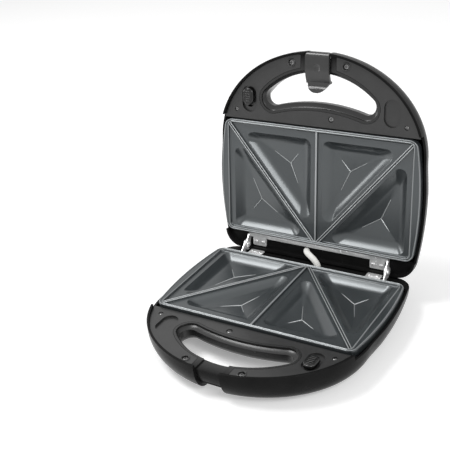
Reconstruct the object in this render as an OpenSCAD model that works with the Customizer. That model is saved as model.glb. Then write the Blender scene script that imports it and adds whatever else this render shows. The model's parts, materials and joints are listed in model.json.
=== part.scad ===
// Two-slice sandwich toaster with a hinged lid, shown open.
// Each half is drawn lying flat with its parting plane at z = 0, its outer face
// down and the middle of its cooking plate over the origin: the handle is at -Y
// and the hinge at +Y. base_place() and lid_place() put the halves together.

/* [Housing] */
// Depth of one half, from the parting plane to its outer face
shell_depth = 33; // [31:1:38]
// Thickness of the moulded covers
wall = 2.5; // [2:0.25:3]
// From the plate's front edge to the front of the handle
handle_depth = 79.7; // [76:0.1:88]
// From the plate's corner sideways to the outside of the housing
side_margin = 8; // [7:0.5:12]
// Distance of the shoulders in front of the middle of the plate
shoulder_y = 42; // [36:1:46]
// Extra width that each side gains behind the shoulder
side_bulge = 2; // [1:0.5:4]
// Radius of the long curve of each side, towards the rear
side_r = 370; // [340:10:500]
// From the hinge axis back to the rear wall
rear_overhang = 4.9; // [4:0.1:5.2]
// Radius of the rear corners, seen from above
rear_corner_r = 20; // [17:1:24]
// Straight part of the side walls, below the parting plane
side_straight = 5; // [3:1:8]
// Width of the rounding over the front of the handle
roll_front = 20; // [18:1:22]
// Width of the rounding along the sides
roll_side = 18; // [14:1:20]
// Width of the rounding along the rear
roll_rear = 11; // [8:1:12]
// How far the rim beside the plate lies below the parting plane
rim_drop = 6; // [5:0.5:7]
// How far the rear rim of the base lies below the parting plane
base_rear_drop = 7.5; // [7:0.25:9]
// How far the rear rim of the lid lies below the parting plane
lid_rear_drop = 1.5; // [1:0.25:3]

/* [Cooking plates] */
// Width of the plate at its corners
plate_w = 222; // [214:1:224]
// Depth of the plate, from handle side to hinge side
plate_d = 129.6; // [124:0.4:132]
// How far each side of the plate bulges
plate_bulge = 6; // [4:0.5:6.5]
// Corner radius of the plate
plate_corner_r = 8; // [6:1:12]
// Thickness of the cast plate
plate_t = 2; // [1.6:0.1:2.4]
// Height of the plate's edge wall
plate_skirt = 8; // [7.5:0.25:9]
// How far the plate's field lies below its rim
field_drop = 2.6; // [2:0.2:3]
// Width of the rim
rim_w = 3; // [2.4:0.2:4]
// Depth of the sandwich pockets below the field
pocket_depth = 6.5; // [5:0.5:7.5]
// Extra depth at the middle of each pocket, where its creases meet
crease_depth = 2.5; // [1:0.5:3]
// Corner radius of the pockets at the field
pocket_r = 7; // [6:0.5:9]
// How far the pocket walls slope inwards
pocket_slope = 7; // [5:0.5:8]
// Gap between the two plates when closed
plate_gap = 0.3; // [0.2:0.1:0.6]

/* [Handle] */
// How far the flat inner panel lies below the parting plane
panel_drop = 3.5; // [3:0.25:4]
// Thickness of the inner panel
panel_t = 2.5; // [2:0.25:3]
// Gap round the edge of the panel
panel_gap = 0.35; // [0.2:0.05:0.6]
// Distance of the finger hole's front edge from the front of the handle
grip_w = 18; // [17:0.5:21]
// Distance of the finger hole's rear edge from the plate
hole_bar = 19.2; // [18:0.4:22]
// From the end of the finger hole to the middle of the release slider
hole_to_slider = 14.3; // [13.5:0.1:18]
// Radius of the finger hole's rear edge
hole_rear_r = 176; // [160:2:190]
// Corner radius at each end of the finger hole
hole_end_r = 14; // [12:1:16]

/* [Hinges] */
// From the plate's rear edge to the hinge axis
hinge_setback = 15.1; // [14.5:0.1:17]
// From the plate's corner sideways in to each hinge
hinge_inset = 26; // [22:1:32]
// Radius of the hinge ears
ear_r = 6; // [5:0.25:6.5]
// Radius of the hinge rivets
rivet_r = 2; // [1.5:0.1:2.5]
// Thickness of the hinge steel
steel_t = 1.2; // [1:0.1:1.6]
// Angle of the open lid
open_angle = 98.5; // [90:0.5:100]

/* [Latch] */
// Width of the latch
latch_w = 27; // [22:1:30]
// Depth of the channel that the latch lies in, round the handle
channel_depth = 4.3; // [4.2:0.1:5]
// Depth of the channel across the inner face
channel_inner = 5; // [4.8:0.1:6]
// Thickness of the latch arm
latch_t = 3.3; // [2.8:0.1:3.4]
// Radius of the latch pin
latch_pin_r = 1.5; // [1.2:0.1:2]
// Distance of the claw from the parting plane when latched
claw_at = 20; // [18:0.5:21]
// Height of the claw
claw_h = 2.6; // [2:0.2:3]

/* [Plate releases] */
// From the plate's corner sideways in to the release slider
slider_inset = 29; // [27:0.5:31]
// Travel of the release sliders
slider_travel = 5; // [4:0.5:6]
// Width of the slider's thumb button
button_w = 13; // [11:0.5:14]
// Length of the slider's thumb button
button_l = 19; // [16:0.5:20]
// How far the thumb button stands above the panel
button_h = 4.5; // [3:0.5:6]

/* [Heating] */
// Radius of the tubular heating element
element_r = 3.2; // [2.8:0.1:3.5]
// Thickness of the sheet-metal reflector
reflector_t = 0.8; // [0.6:0.1:1]
// Radius of the glass-fibre sleeve between the halves
sleeve_r = 3.5; // [3:0.25:4]

/* [Outer face] */
// Depth of the recess for the metal trim panel
trim_t = 0.6; // [0.5:0.1:0.8]
// Width of the black frame beside the trim panel
trim_side = 20; // [19:1:26]
// Width of the black frame behind the trim panel
trim_rear = 12.5; // [12:0.5:16]
// Radius of the trim panel's curved front edge
trim_r = 168; // [150:2:200]
// Where the curved front edge crosses the middle, in front of the plate's middle
trim_mid = 8; // [2:1:12]
// Length of the indicator lenses
lens_l = 20; // [16:1:22]
// Width of the indicator lenses
lens_w = 13; // [10:1:14]
// Radius of the feet
foot_r = 7; // [5:0.5:8]
// Height of the feet
foot_h = 3.5; // [3:0.5:6]
// Distance of the feet from the middle
foot_x = 86; // [80:1:88]

/* [Hidden] */
$fn = 48;

slip = 0.05;               // running clearance round pins
over = 1;                  // how far a cutter runs past the face it cuts
far = 400;                 // larger than the whole object

plate_hw = plate_w / 2;
plate_hd = plate_d / 2;
handle_reach = plate_hd + handle_depth;
shoulder_hw = plate_hw + side_margin;
slider_x = plate_hw - slider_inset;
hinge_x = plate_hw - hinge_inset;
hinge_y = plate_hd + hinge_setback;
rear_reach = hinge_y + rear_overhang;
parting_z = foot_h + shell_depth;
floor_z = wall - shell_depth;
panel_z = -panel_drop - panel_t;       // underside of the inner panel
panel_y = -plate_hd - 1;               // rear edge of the inner panel
rail_y = panel_y - 4;                  // middle of the wall in front of the plate
rail_t = wall;
deck_z = -base_rear_drop;              // top of the deck behind the plate
deck_y = plate_hd + 1.7;

// ---- curves --------------------------------------------------------------

function mid(a, b, f) = a + (b - a) * f;
function smooth(u) = u * u * (3 - 2 * u);
function mirrored(pts) = [for (i = [len(pts) - 1:-1:0]) [-pts[i].x, pts[i].y]];
function at_z(pts, z) = [for (p = pts) [p.x, p.y, z]];
function arc(c, r, a0, a1, n) =
    [for (i = [0:n]) let (a = mid(a0, a1, i / n)) c + r * [cos(a), sin(a)]];
// Index list from one past the start to one before the end
function inner_of(pts) = [for (i = [1:len(pts) - 2]) pts[i]];

// Solid through a stack of rings, lowest first, each ring counter-clockwise
module loft(rings) {
    n = len(rings[0]);
    m = len(rings);
    polyhedron(
        points = [for (ring = rings) each ring],
        faces = concat(
            [[for (i = [0:n - 1]) i]],
            [[for (i = [n - 1:-1:0]) (m - 1) * n + i]],
            [for (k = [0:m - 2], i = [0:n - 1]) let (a = k * n, b = a + n, j = (i + 1) % n)
                each [[a + i, b + i, b + j], [a + i, b + j, a + j]]]));
}

// Outline of the housing, at the parting plane
side_peak = -5;                        // y where the housing is widest
function side_hw(y) = y < side_peak
    ? shoulder_hw + side_bulge * smooth((y + shoulder_y) / (side_peak + shoulder_y))
    : shoulder_hw + side_bulge - (y - side_peak) ^ 2 / (2 * side_r);
corner_y = rear_reach - rear_corner_r;
corner_tilt = atan((corner_y - side_peak) / side_r);
side_end_y = corner_y + rear_corner_r * sin(corner_tilt);
corner_x = side_hw(side_end_y) - rear_corner_r * cos(corner_tilt);
front_steps = 18;
side_steps = 8;
housing_right = concat(
    [for (i = [0:front_steps]) let (a = 90 * i / front_steps)
        [shoulder_hw * sin(a), -shoulder_y - (handle_reach - shoulder_y) * cos(a)]],
    [for (i = [1:side_steps]) let (y = mid(-shoulder_y, side_end_y, i / side_steps))
        [side_hw(y), y]],
    [for (p = arc([corner_x, corner_y], rear_corner_r, corner_tilt, 90, 6)) if (p.y > side_end_y + 0.01) p],
    [[corner_x / 2, rear_reach], [0, rear_reach]]);
housing = concat(housing_right, inner_of(mirrored(housing_right)));
housing_n = len(housing);
function housing_normal(i) =
    let (t = housing[(i + 1) % housing_n] - housing[(i + housing_n - 1) % housing_n])
    [t.y, -t.x] / norm(t);
housing_normals = [for (i = [0:housing_n - 1]) housing_normal(i)];
function roll_at(n) = n.y < 0
    ? roll_front * n.y ^ 2 + roll_side * n.x ^ 2
    : roll_rear * n.y ^ 2 + roll_side * n.x ^ 2;
// Housing outline, set in by a fixed distance and by a share of its rounding
function housing_ring(inset, share) = [for (i = [0:housing_n - 1])
    let (n = housing_normals[i])
    housing[i] - n * (inset + (roll_at(n) - inset) * share)];
roll_steps = 7;
// Solid of the housing, set in by inset, cut off flat at its outer face and at top
module housing_solid(inset, top) intersection() {
    loft(concat(
        [at_z(housing_ring(inset, 1), -shell_depth - over)],
        [for (k = [roll_steps:-1:0]) let (a = 90 * k / roll_steps)
            at_z(housing_ring(inset, 1 - cos(a)),
                 -side_straight - (shell_depth - inset - side_straight) * sin(a))],
        [at_z(housing_ring(inset, 0), top + over)]));
    slab(-far / 2, far / 2, -far / 2, far / 2, inset - shell_depth, top);
}
// How far the front of the handle has rounded over at a depth below the parting plane
function front_inset(depth) = depth < side_straight ? 0
    : roll_front * (1 - sqrt(1 - min(1, (depth - side_straight) / (shell_depth - side_straight)) ^ 2));

// Finger hole outline: a front arc, two end arcs and a rear arc that bulges forwards,
// from its half width, front y, rear y, rear radius and end radius
function hole_ring(s) =
    let (hw = s[0], front_y = s[1], rear_y = s[2], rear_r = s[3], end_r = s[4],
         e = [hw - end_r, rear_y + rear_r - sqrt((rear_r + end_r) ^ 2 - (hw - end_r) ^ 2)],
         rise = e.y - front_y,
         front_r = (e.x ^ 2 + rise ^ 2 - end_r ^ 2) / (2 * (rise - end_r)),
         a1 = atan2(rise - front_r, e.x), a2 = atan2(rear_y + rear_r - e.y, -e.x))
    concat(
        arc([0, front_y + front_r], front_r, -180 - a1, a1, 14),
        inner_of(arc(e, end_r, a1, a2, 7)),
        arc([0, rear_y + rear_r], rear_r, a2 - 180, -a2, 10),
        inner_of(arc([-e.x, e.y], end_r, 180 - a2, 180 - a1, 7)));
hole_rear_y = -plate_hd - hole_bar;
hole_mouth = [slider_x - hole_to_slider, -handle_reach + grip_w, hole_rear_y, hole_rear_r, hole_end_r];
hole_throat = hole_mouth + [-4.5, 4.5, -6.4, 6.4, -4.5];
hole_flare = hole_mouth + [10.35, 1, 30, 74, 10];
hole_wall = [wall, -wall, wall, -wall, wall];
throat_top = -8;
throat_low = -14;
// Finger hole with its narrow throat and the wide scoop on the outer face
module finger_hole(grow) {
    add = grow * hole_wall / wall;
    loft(concat(
        [at_z(hole_ring(hole_flare + add), -shell_depth - over)],
        [for (u = [1, 0.85, 0.65, 0.4]) at_z(hole_ring(mid(hole_throat, hole_flare, u ^ 2) + add),
            mid(throat_low, -shell_depth, u))],
        [at_z(hole_ring(hole_throat + add), throat_low),
         at_z(hole_ring(hole_throat + add), throat_top),
         at_z(hole_ring(mid(hole_throat, hole_mouth, 0.8) + add), panel_z),
         at_z(hole_ring(mid(hole_throat, hole_mouth, 0.8) + add), over)]));
}

// Plate outline, set in by d: a rounded rectangle whose sides may bulge
function plate_outline(d, bulge) =
    let (r = max(0.5, plate_corner_r - d), x = plate_hw - d - r, y = plate_hd - d - r,
         right = concat(
             arc([x, -y], r, -90, 0, 5),
             [for (i = [1:5]) [x + r, mid(-y, y, i / 6)]],
             arc([x, y], r, 0, 90, 5)),
         flat = concat(right, mirrored(right)))
    [for (p = flat) [p.x * (1 + bulge / plate_hw * (1 - (p.y / plate_hd) ^ 2)), p.y]];
module plate_prism(d, low, high, bulge = plate_bulge)
    translate([0, 0, low]) linear_extrude(high - low) polygon(plate_outline(d, bulge));

// Ring of a rounded triangle: each edge k of the cell set in by m[k] + e
function line_in(a, b, d) = let (t = (b - a) / norm(b - a)) [a + d * [-t.y, t.x], t];
function cross2(a, b) = a.x * b.y - a.y * b.x;
function meet(l1, l2) = l1[0] + l1[1] * cross2(l2[0] - l1[0], l2[1]) / cross2(l1[1], l2[1]);
function pocket_ring(cell, m, e, r) = [for (k = [0:2])
    let (before = (k + 2) % 3, after = (k + 1) % 3,
         l1 = line_in(cell[before], cell[k], m[before] + e + r),
         l2 = line_in(cell[k], cell[after], m[k] + e + r),
         c = meet(l1, l2),
         a1 = atan2(-l1[1].x, l1[1].y), a2 = atan2(-l2[1].x, l2[1].y),
         turn = a2 < a1 ? a2 + 360 : a2)
    each arc(c, r, a1, turn, 5)];
cells = [
    [[0, -plate_hd], [plate_hw, -plate_hd], [0, plate_hd]],
    [[plate_hw, -plate_hd], [plate_hw, plate_hd], [0, plate_hd]]];
cell_margins = [[14, 6, 8], [11, 6.5, 6]];
function middle(pts) = [for (k = [0:1]) (pts[0][k] + pts[1][k] + pts[2][k]) / 3];
function pocket_middle(cell, m) =
    middle([for (k = [0:2]) meet(line_in(cell[(k + 2) % 3], cell[k], m[(k + 2) % 3]),
                                 line_in(cell[k], cell[(k + 1) % 3], m[k]))]);
// Pocket cutter, or its outer skin when grow is the plate's thickness
module pocket(k, grow, top) {
    cell = cells[k];
    m = cell_margins[k];
    z0 = -field_drop - grow;
    rings = [
        at_z(pocket_ring(cell, m, pocket_slope - grow, pocket_r - 3 + grow / 2), z0 - pocket_depth),
        at_z(pocket_ring(cell, m, 1 - grow, pocket_r - 1 + grow / 2), z0 - 1),
        at_z(pocket_ring(cell, m, -grow, pocket_r + grow / 2), top)];
    n = len(rings[0]);
    c = pocket_middle(cell, m);
    apex = 3 * n;
    polyhedron(
        points = concat(rings[0], rings[1], rings[2], [[c.x, c.y, z0 - pocket_depth - crease_depth]]),
        faces = concat(
            [for (i = [0:n - 1]) [i, (i + 1) % n, apex]],
            [[for (i = [n - 1:-1:0]) 2 * n + i]],
            [for (q = [0:1], i = [0:n - 1]) let (a = q * n, b = a + n, j = (i + 1) % n)
                each [[a + i, b + i, b + j], [a + i, b + j, a + j]]]));
}
module both_sides() {
    children();
    mirror([1, 0, 0]) children();
}

// ---- where the halves and pieces go ---------------------------------------

lid_top_y = -handle_reach + roll_front;
lid_lean = hinge_y + (lid_top_y - hinge_y) * cos(open_angle) + side_straight * sin(open_angle)
    + norm([roll_front * cos(open_angle), (shell_depth - side_straight) * sin(open_angle)]);
mid_y = (lid_lean - handle_reach) / 2;    // brings the whole depth to the middle
module base_place() translate([0, -mid_y, parting_z]) children();
module lid_place()
    base_place() translate([0, hinge_y, 0]) rotate([-open_angle, 0, 0])
    translate([0, -hinge_y, 0]) rotate([0, 180, 0]) children();

// Inner panel screws: beside the latch, near the plate, and at the handle's ends
latch_screw = [31, -handle_reach + 13.5];
middle_screw = [-15.5, -plate_hd - 10.6];
end_screw = [slider_x + 16, -plate_hd - 10.7];
panel_screw_spots = [latch_screw, [-latch_screw.x, latch_screw.y], middle_screw,
                     end_screw, [-end_screw.x, end_screw.y]];
small_screws_from = 3;                // the last two spots have smaller screws
panel_head_z = panel_z + 1.1;
panel_screw_l = 10;
screw_r = 1.4;
boss_r = 4;
head_r = 2.8;
small_head_r = 2;
// Hinge bar screws, two in each tab
tab_l = 17;
tab_x = hinge_x - 5 - tab_l / 2;
hinge_screw_pitch = 9;
hinge_screw_y = hinge_y - 3.4;
hinge_screw_l = 5.5;
bar_z = deck_z + 0.9;                 // underside of the hinge bars
hinge_screw_spots = [for (s = [-1, 1], t = [-1, 1])
    [s * (tab_x + t * hinge_screw_pitch / 2), hinge_screw_y]];
// Reflector screws, under the pockets
plate_low = -plate_gap / 2 - field_drop - plate_t - pocket_depth - crease_depth;
element_z = plate_low - element_r - 0.3;
element_gap = 0.95;                   // from the element down to the reflector
reflector_z = element_z - element_r - element_gap - reflector_t;
reflector_screw_l = 6;
reflector_screw_spots = [for (s = [-1, 1], t = [-1, 1]) [s * 84, t * 34]];
foot_spots = [for (s = [-1, 1], y = [-plate_hd - 7, plate_hd - 3]) [s * foot_x, y]];
foot_peg_r = 2.5;
// Latch channel and pin
channel_hw = latch_w / 2 + 0.5;
core_hw = channel_hw + 6;
pin_drop = 5;
pin_y = -handle_reach + 5.5;
barrel_r = 5;
pin_l = 2 * channel_hw + 7;
core_y = -handle_reach + 28;          // rear end of the solid block at the latch
// Release sliders
slider_y = -plate_hd - 26.5;          // middle of the thumb button at rest
slot_y = slider_y + slider_travel / 2 + 0.6;
slot_l = button_l + slider_travel + 4.5;
slot_w = button_w + 4.5;
slot_sink = 1.5;
stem_w = button_w - 4;
stem_l = button_l - 5;
flange_z = panel_z - 0.3;
flange_t = 1.7;
flange_hw = stem_w;                   // half width of the flange under the panel
hook_hw = 4;
bar_low = -plate_skirt - 3;
bar_t = 2;
hook_y = -plate_hd + 4.6;
spring_r = 2.2;
spring_x = slider_x - 7.5;
spring_z = flange_z - 3.2;
// Trim panel outline
trim_hw = shoulder_hw + side_bulge - trim_side;
trim_y = rear_reach - trim_rear;
trim_corner_r = 4;
trim_gap = 0.25;
// Indicator lenses
lens_y = -trim_mid - 23;
green_x = -6.5;
red_x = 20;
// Openings behind the plate and in the rear wall
sleeve_base = [6, hinge_y - 3.9];
sleeve_lid = [13, hinge_y - 3.9];      // in the lid half's own frame
gland_x = -48;
gland_z = -19;
gland_r = 4.5;

module spots(list) for (p = list) translate([p.x, p.y, 0]) children();
module rod(r, low, high) translate([0, 0, low]) cylinder(r = r, h = high - low);
module slab(x0, x1, y0, y1, z0, z1) translate([x0, y0, z0]) cube([x1 - x0, y1 - y0, z1 - z0]);
module obround(w, l) {
    square([w, l - w], center = true);
    for (s = [-1, 1]) translate([0, s * (l - w) / 2]) circle(d = w);
}

// ---- covers ----------------------------------------------------------------

// Side profile of the channel round the handle: what is cut away, as [y, z]
channel_steps = 8;
function channel_floor(depth) = -handle_reach + channel_depth + front_inset(depth);
channel_end = shell_depth - channel_depth;
function channel_curve(y_end) = concat(
    [for (i = [0:channel_steps])
        let (a = 90 * i / channel_steps,
             d = side_straight + (channel_end - side_straight) * sin(a))
        [-handle_reach + channel_depth + (roll_front - channel_depth) * (1 - cos(a)), -d]],
    [[y_end, -channel_end]]);
module channel_cut() {
    outside = concat(
        [[-far / 2, over], [-far / 2, -far / 4], [hole_rear_y - grip_w, -far / 4]],
        [for (p = channel_curve(hole_rear_y - grip_w)) p]);
    n = len(outside);
    ordered = concat([for (i = [0:2]) outside[i]], [for (i = [n - 1:-1:3]) outside[i]],
        [[-handle_reach + channel_depth, over]]);
    along_x(channel_hw) polygon(ordered);
    slab(-channel_hw, channel_hw, -far / 2, hole_rear_y - 9, -channel_inner, over);
    // pocket that the latch's claw snaps into
    slab(-channel_hw, channel_hw, -far / 2, arm_outer(claw_at) + latch_t + claw_h + 0.6,
         -arm_end - 0.8, -claw_at + 0.5);
}
// Extrudes a profile drawn as [y, z] from x = -hw to x = hw
module along_x(hw) translate([-hw, 0, 0]) rotate([90, 0, 90]) linear_extrude(2 * hw) children();

module ledges() {
    for (s = [-1, 1], y = [-plate_hd * 0.62, plate_hd * 0.62])
        slab(s > 0 ? plate_hw - 3 : -plate_hw - plate_bulge - over,
             s > 0 ? plate_hw + plate_bulge + over : -plate_hw + 3,
             y - 5, y + 5, floor_z - over, -plate_skirt - slip);
    for (s = [-1, 1])
        slab(s * 50 - 6, s * 50 + 6, -plate_hd - over, -plate_hd + 3.5,
             floor_z - over, -plate_skirt - slip);
}

module cover(rear_drop) {
    difference() {
        housing_solid(0, -plate_gap / 2);
        difference() {
            housing_solid(wall, over);
            // what stays standing inside
            slab(-core_hw, core_hw, -far / 2, core_y, -far / 2, 2 * over);
            intersection() {
                finger_hole(wall);
                slab(-far / 2, far / 2, -far / 2, far / 2, -far / 2, panel_z);
            }
            slab(-far / 2, far / 2, rail_y - rail_t / 2, rail_y + rail_t / 2, -far / 2, panel_z);
            slab(-far / 2, far / 2, deck_y, far / 2, deck_z - wall, deck_z);
            slab(-far / 2, far / 2, deck_y, deck_y + wall, floor_z - over, deck_z);
            ledges();
            spots(panel_screw_spots) rod(boss_r, floor_z - over, panel_z);
            spots(hinge_screw_spots) rod(boss_r - 0.5, deck_z - over, bar_z);
            spots(reflector_screw_spots) rod(boss_r, floor_z - over, reflector_z);
        }
        // rim lowered beside the plate, and lower or higher behind it
        slab(-far / 2, far / 2, rail_y + rail_t / 2, deck_y, -rim_drop, over);
        slab(-far / 2, far / 2, deck_y - over, far / 2, -rear_drop, over);
        finger_hole(0);
        channel_cut();
        // seat and hole of the latch pin's barrel
        translate([0, pin_y, -pin_drop]) along_x(channel_hw) circle(r = barrel_r + 0.4);
        spots(panel_screw_spots) rod(screw_r, panel_head_z - panel_screw_l - over, over);
        spots(hinge_screw_spots) rod(screw_r, deck_z - 5, over);
        spots(reflector_screw_spots) rod(screw_r, reflector_z - reflector_screw_l + 0.5, reflector_z + over);
        // window for the slider's bar
        slab(slider_x - hook_hw - 1, slider_x + hook_hw + 1, rail_y - rail_t, rail_y + rail_t,
             bar_low - 0.5, bar_low + bar_t + 0.5);
        // wires through the rail
        for (x = [-30, 30]) translate([x, rail_y, -18]) rotate([90, 0, 0])
            cylinder(r = 3, h = 3 * rail_t, center = true);
    }
}

module base_cover() color([0.06, 0.06, 0.065]) base_place() difference() {
    cover(base_rear_drop);
    spots(foot_spots) rod(foot_peg_r, -shell_depth - over, floor_z + over);
    spots([sleeve_base]) rod(sleeve_r + 0.7, deck_z - wall - over, deck_z + over);
    translate([gland_x, deck_y + wall / 2, gland_z]) rotate([90, 0, 0])
        cylinder(r = 4, h = 2 * wall, center = true);
    translate([gland_x, rear_reach, gland_z]) rotate([90, 0, 0])
        cylinder(r = gland_r, h = 12, center = true);
}

module lid_cover() color([0.06, 0.06, 0.065]) lid_place() difference() {
    cover(lid_rear_drop);
    translate([0, 0, -shell_depth - over]) linear_extrude(trim_t + over) trim_shape(0);
    for (x = [green_x, red_x]) translate([x, lens_y, -shell_depth - over])
        linear_extrude(wall + 2 * over) lens_shape(x == green_x ? -1 : 1, 0);
    spots([sleeve_lid]) rod(sleeve_r + 0.7, deck_z - wall - over, deck_z + over);
    // slots in the rear wall for the hinge ears
    both_sides() slab(lid_ear_x - 2.5, base_ear_x + steel_t + 2.3, hinge_y - ear_r - 0.6, far / 2,
                      -ear_r - 0.6, over);
    translate([0, pin_y, -pin_drop]) along_x(pin_l / 2 + 0.1) circle(r = latch_pin_r);
}

// ---- inner panels ----------------------------------------------------------

panel_edge = housing_ring(wall + panel_gap, 0);
module panel() {
    difference() {
        translate([0, 0, panel_z]) linear_extrude(panel_t) difference() {
            intersection() {
                polygon(panel_edge);
                translate([-far / 2, panel_y - far]) square([far, far]);
            }
            translate([-core_hw - panel_gap, -far])
                square([2 * (core_hw + panel_gap), far + core_y + panel_gap]);
            polygon(hole_ring(mid(hole_throat, hole_mouth, 0.8) + hole_wall * 0.1));
        }
        spots(panel_screw_spots) rod(screw_r + 0.2, panel_z - over, over);
        for (i = [0:len(panel_screw_spots) - 1]) spots([panel_screw_spots[i]])
            rod(i < small_screws_from ? head_r + 0.4 : small_head_r + 0.4,
                panel_z + 1.1, over);
        // sunken track and through slot of the release slider
        translate([slider_x, slot_y, -panel_drop - slot_sink]) linear_extrude(slot_sink + over)
            obround(slot_w, slot_l);
        translate([slider_x, slider_y + slider_travel / 2, panel_z - over]) linear_extrude(panel_t + over)
            obround(stem_w + 0.6, stem_l + slider_travel + 0.8);
        // blind track that clears the other half's slider
        translate([-slider_x, slot_y, -panel_drop - slot_sink]) linear_extrude(slot_sink + over)
            obround(slot_w, slot_l);
    }
    // raised rings round the two screws beside the latch
    for (s = [-1, 1]) translate([s * latch_screw.x, latch_screw.y, -panel_drop]) difference() {
        cylinder(r = head_r + 1.8, h = 0.8);
        translate([0, 0, -over]) cylinder(r = head_r + 0.4, h = 3 * over);
    }
}
module base_panel() color([0.1, 0.1, 0.105]) base_place() panel();
module lid_panel() color([0.1, 0.1, 0.105]) lid_place() panel();

module screws(list, small_from, head_z, length) {
    for (i = [0:len(list) - 1]) spots([list[i]]) {
        r = i < small_from ? head_r : small_head_r;
        difference() {
            union() {
                rod(screw_r - slip, head_z - length, head_z);
                rod(r, head_z, head_z + 1.2);
            }
            for (a = [0, 90]) rotate(a)
                translate([-r * 0.6, -0.3, head_z + 0.5]) cube([r * 1.2, 0.6, over]);
        }
    }
}
module base_panel_screws() color("silver") base_place()
    screws(panel_screw_spots, small_screws_from, panel_head_z, panel_screw_l);
module lid_panel_screws() color("silver") lid_place()
    screws(panel_screw_spots, small_screws_from, panel_head_z, panel_screw_l);

// ---- cooking plates --------------------------------------------------------

divider_w = 2;
diagonal_w = 1.2;
diagonal_gap = 2.4;
rib_low = 0.5;
module plate() translate([0, 0, -plate_gap / 2]) {
    field_low = -field_drop - plate_t;
    difference() {
        union() {
            plate_prism(plate_t, field_low, -field_drop);
            difference() {
                plate_prism(0, -plate_skirt + plate_gap / 2, 0);
                plate_prism(rim_w, -field_drop, over, 0);
                plate_prism(plate_t, -plate_skirt - over, -field_drop - 0.1);
            }
            both_sides() {
                pocket(0, plate_t, -field_drop - 0.1);
                pocket(1, plate_t, -field_drop - 0.1);
            }
            // ribs that cut each sandwich in two
            intersection() {
                plate_prism(rim_w / 2, -field_drop - over / 2, -rib_low);
                union() {
                    slab(-divider_w / 2, divider_w / 2, -plate_hd, plate_hd, -field_drop - over, 0);
                    both_sides() diagonal_ribs();
                }
            }
            // lug that the release slider hooks over, and rear tongues
            slab(slider_x - hook_hw - 1, slider_x + hook_hw + 1, -plate_hd + plate_t / 2, hook_y - 0.5,
                 -plate_skirt + plate_gap / 2, -plate_skirt + 1.5);
            for (s = [-1, 1]) slab(s * 45 - 7, s * 45 + 7, plate_hd - plate_t / 2, strip_y + 3,
                deck_z + 0.12 + plate_gap / 2, bar_z - 0.12 + plate_gap / 2);
        }
        both_sides() {
            pocket(0, 0, over);
            pocket(1, 0, over);
        }
    }
}
module diagonal_ribs() {
    run = [-plate_hw, plate_d];
    turn = atan2(run.y, run.x);
    for (s = [-1, 1]) translate([plate_hw, -plate_hd, -field_drop - over])
        rotate(turn) translate([0, s * diagonal_gap / 2 - diagonal_w / 2, 0])
        cube([norm(run), diagonal_w, field_drop + over]);
}
module base_plate() color([0.2, 0.21, 0.23]) base_place() plate();
module lid_plate() color([0.2, 0.21, 0.23]) lid_place() plate();

// ---- heating ---------------------------------------------------------------

element_hw = 70;
element_hd = 36;
element_bend = 14;
element_end_x = 16;
reflector_in = 9;
saddle_x = 40;
module element() {
    translate([0, 0, element_z]) {
        both_sides() {
            for (y = [-1, 1]) translate([element_hw - element_bend, y * (element_hd - element_bend), 0])
                rotate(y > 0 ? 0 : -90) rotate_extrude(angle = 90)
                translate([element_bend, 0]) circle(r = element_r);
            translate([element_hw, 0, 0]) rotate([90, 0, 0])
                cylinder(r = element_r, h = 2 * (element_hd - element_bend), center = true);
            translate([element_end_x, element_hd, 0]) rotate([0, 90, 0])
                cylinder(r = element_r, h = element_hw - element_bend - element_end_x);
            // cold pin of the terminal
            translate([element_end_x - 6, element_hd, 0]) rotate([0, 90, 0])
                cylinder(r = element_r * 0.4, h = 7);
        }
        translate([0, -element_hd, 0]) rotate([0, 90, 0])
            cylinder(r = element_r, h = 2 * (element_hw - element_bend), center = true);
    }
}
module reflector() {
    saddle_low = reflector_z + reflector_t / 2;
    difference() {
        union() {
            difference() {
                plate_prism(reflector_in, reflector_z, -plate_skirt - 6);
                plate_prism(reflector_in + reflector_t, reflector_z + reflector_t, 0);
            }
            // saddles that carry the element
            for (s = [-1, 1], y = [-element_hd, element_hd])
                slab(s * saddle_x - 3, s * saddle_x + 3, y - 4, y + 4, saddle_low, element_z - element_r);
            for (s = [-1, 1])
                slab(s * element_hw - 4, s * element_hw + 4, -3, 3, saddle_low, element_z - element_r);
        }
        spots(reflector_screw_spots) rod(screw_r + 0.2, reflector_z - over, reflector_z + 2 * over);
    }
}
reflector_head_z = reflector_z + reflector_t;
module base_element() color([0.55, 0.53, 0.5]) base_place() element();
module lid_element() color([0.55, 0.53, 0.5]) lid_place() element();
module base_reflector() color([0.75, 0.76, 0.78]) base_place() reflector();
module lid_reflector() color([0.75, 0.76, 0.78]) lid_place() reflector();
module base_reflector_screws() color("silver") base_place()
    screws(reflector_screw_spots, len(reflector_screw_spots), reflector_head_z, reflector_screw_l);
module lid_reflector_screws() color("silver") lid_place()
    screws(reflector_screw_spots, len(reflector_screw_spots), reflector_head_z, reflector_screw_l);

// ---- hinges ----------------------------------------------------------------

strip_y = plate_hd + 2.2;
strip_w = 4.5;
module hinge_bar(ear_x) {
    difference() {
        union() {
            both_sides() {
                slab(-over / 2, ear_x + steel_t, strip_y, strip_y + strip_w, bar_z, bar_z + steel_t);
                slab(tab_x - tab_l / 2, tab_x + tab_l / 2, strip_y, hinge_screw_y + 4.4,
                     bar_z, bar_z + steel_t);
                // ear: a web from the strip up to the round eye
                translate([ear_x, 0, 0]) rotate([90, 0, 90]) linear_extrude(steel_t) {
                    translate([hinge_y, 0]) circle(r = ear_r);
                    polygon([[strip_y, bar_z], [strip_y + strip_w, bar_z],
                             [hinge_y + ear_r * 0.6, -ear_r * 0.8],
                             [hinge_y - ear_r * 0.5, ear_r * 0.86], [strip_y, bar_z + 3]]);
                }
            }
        }
        spots(hinge_screw_spots) rod(screw_r + 0.3, bar_z - over, bar_z + 2 * over);
        translate([0, hinge_y, 0]) rotate([0, 90, 0])
            cylinder(r = rivet_r + slip, h = far, center = true);
    }
}
ear_gap = 0.3;
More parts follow.
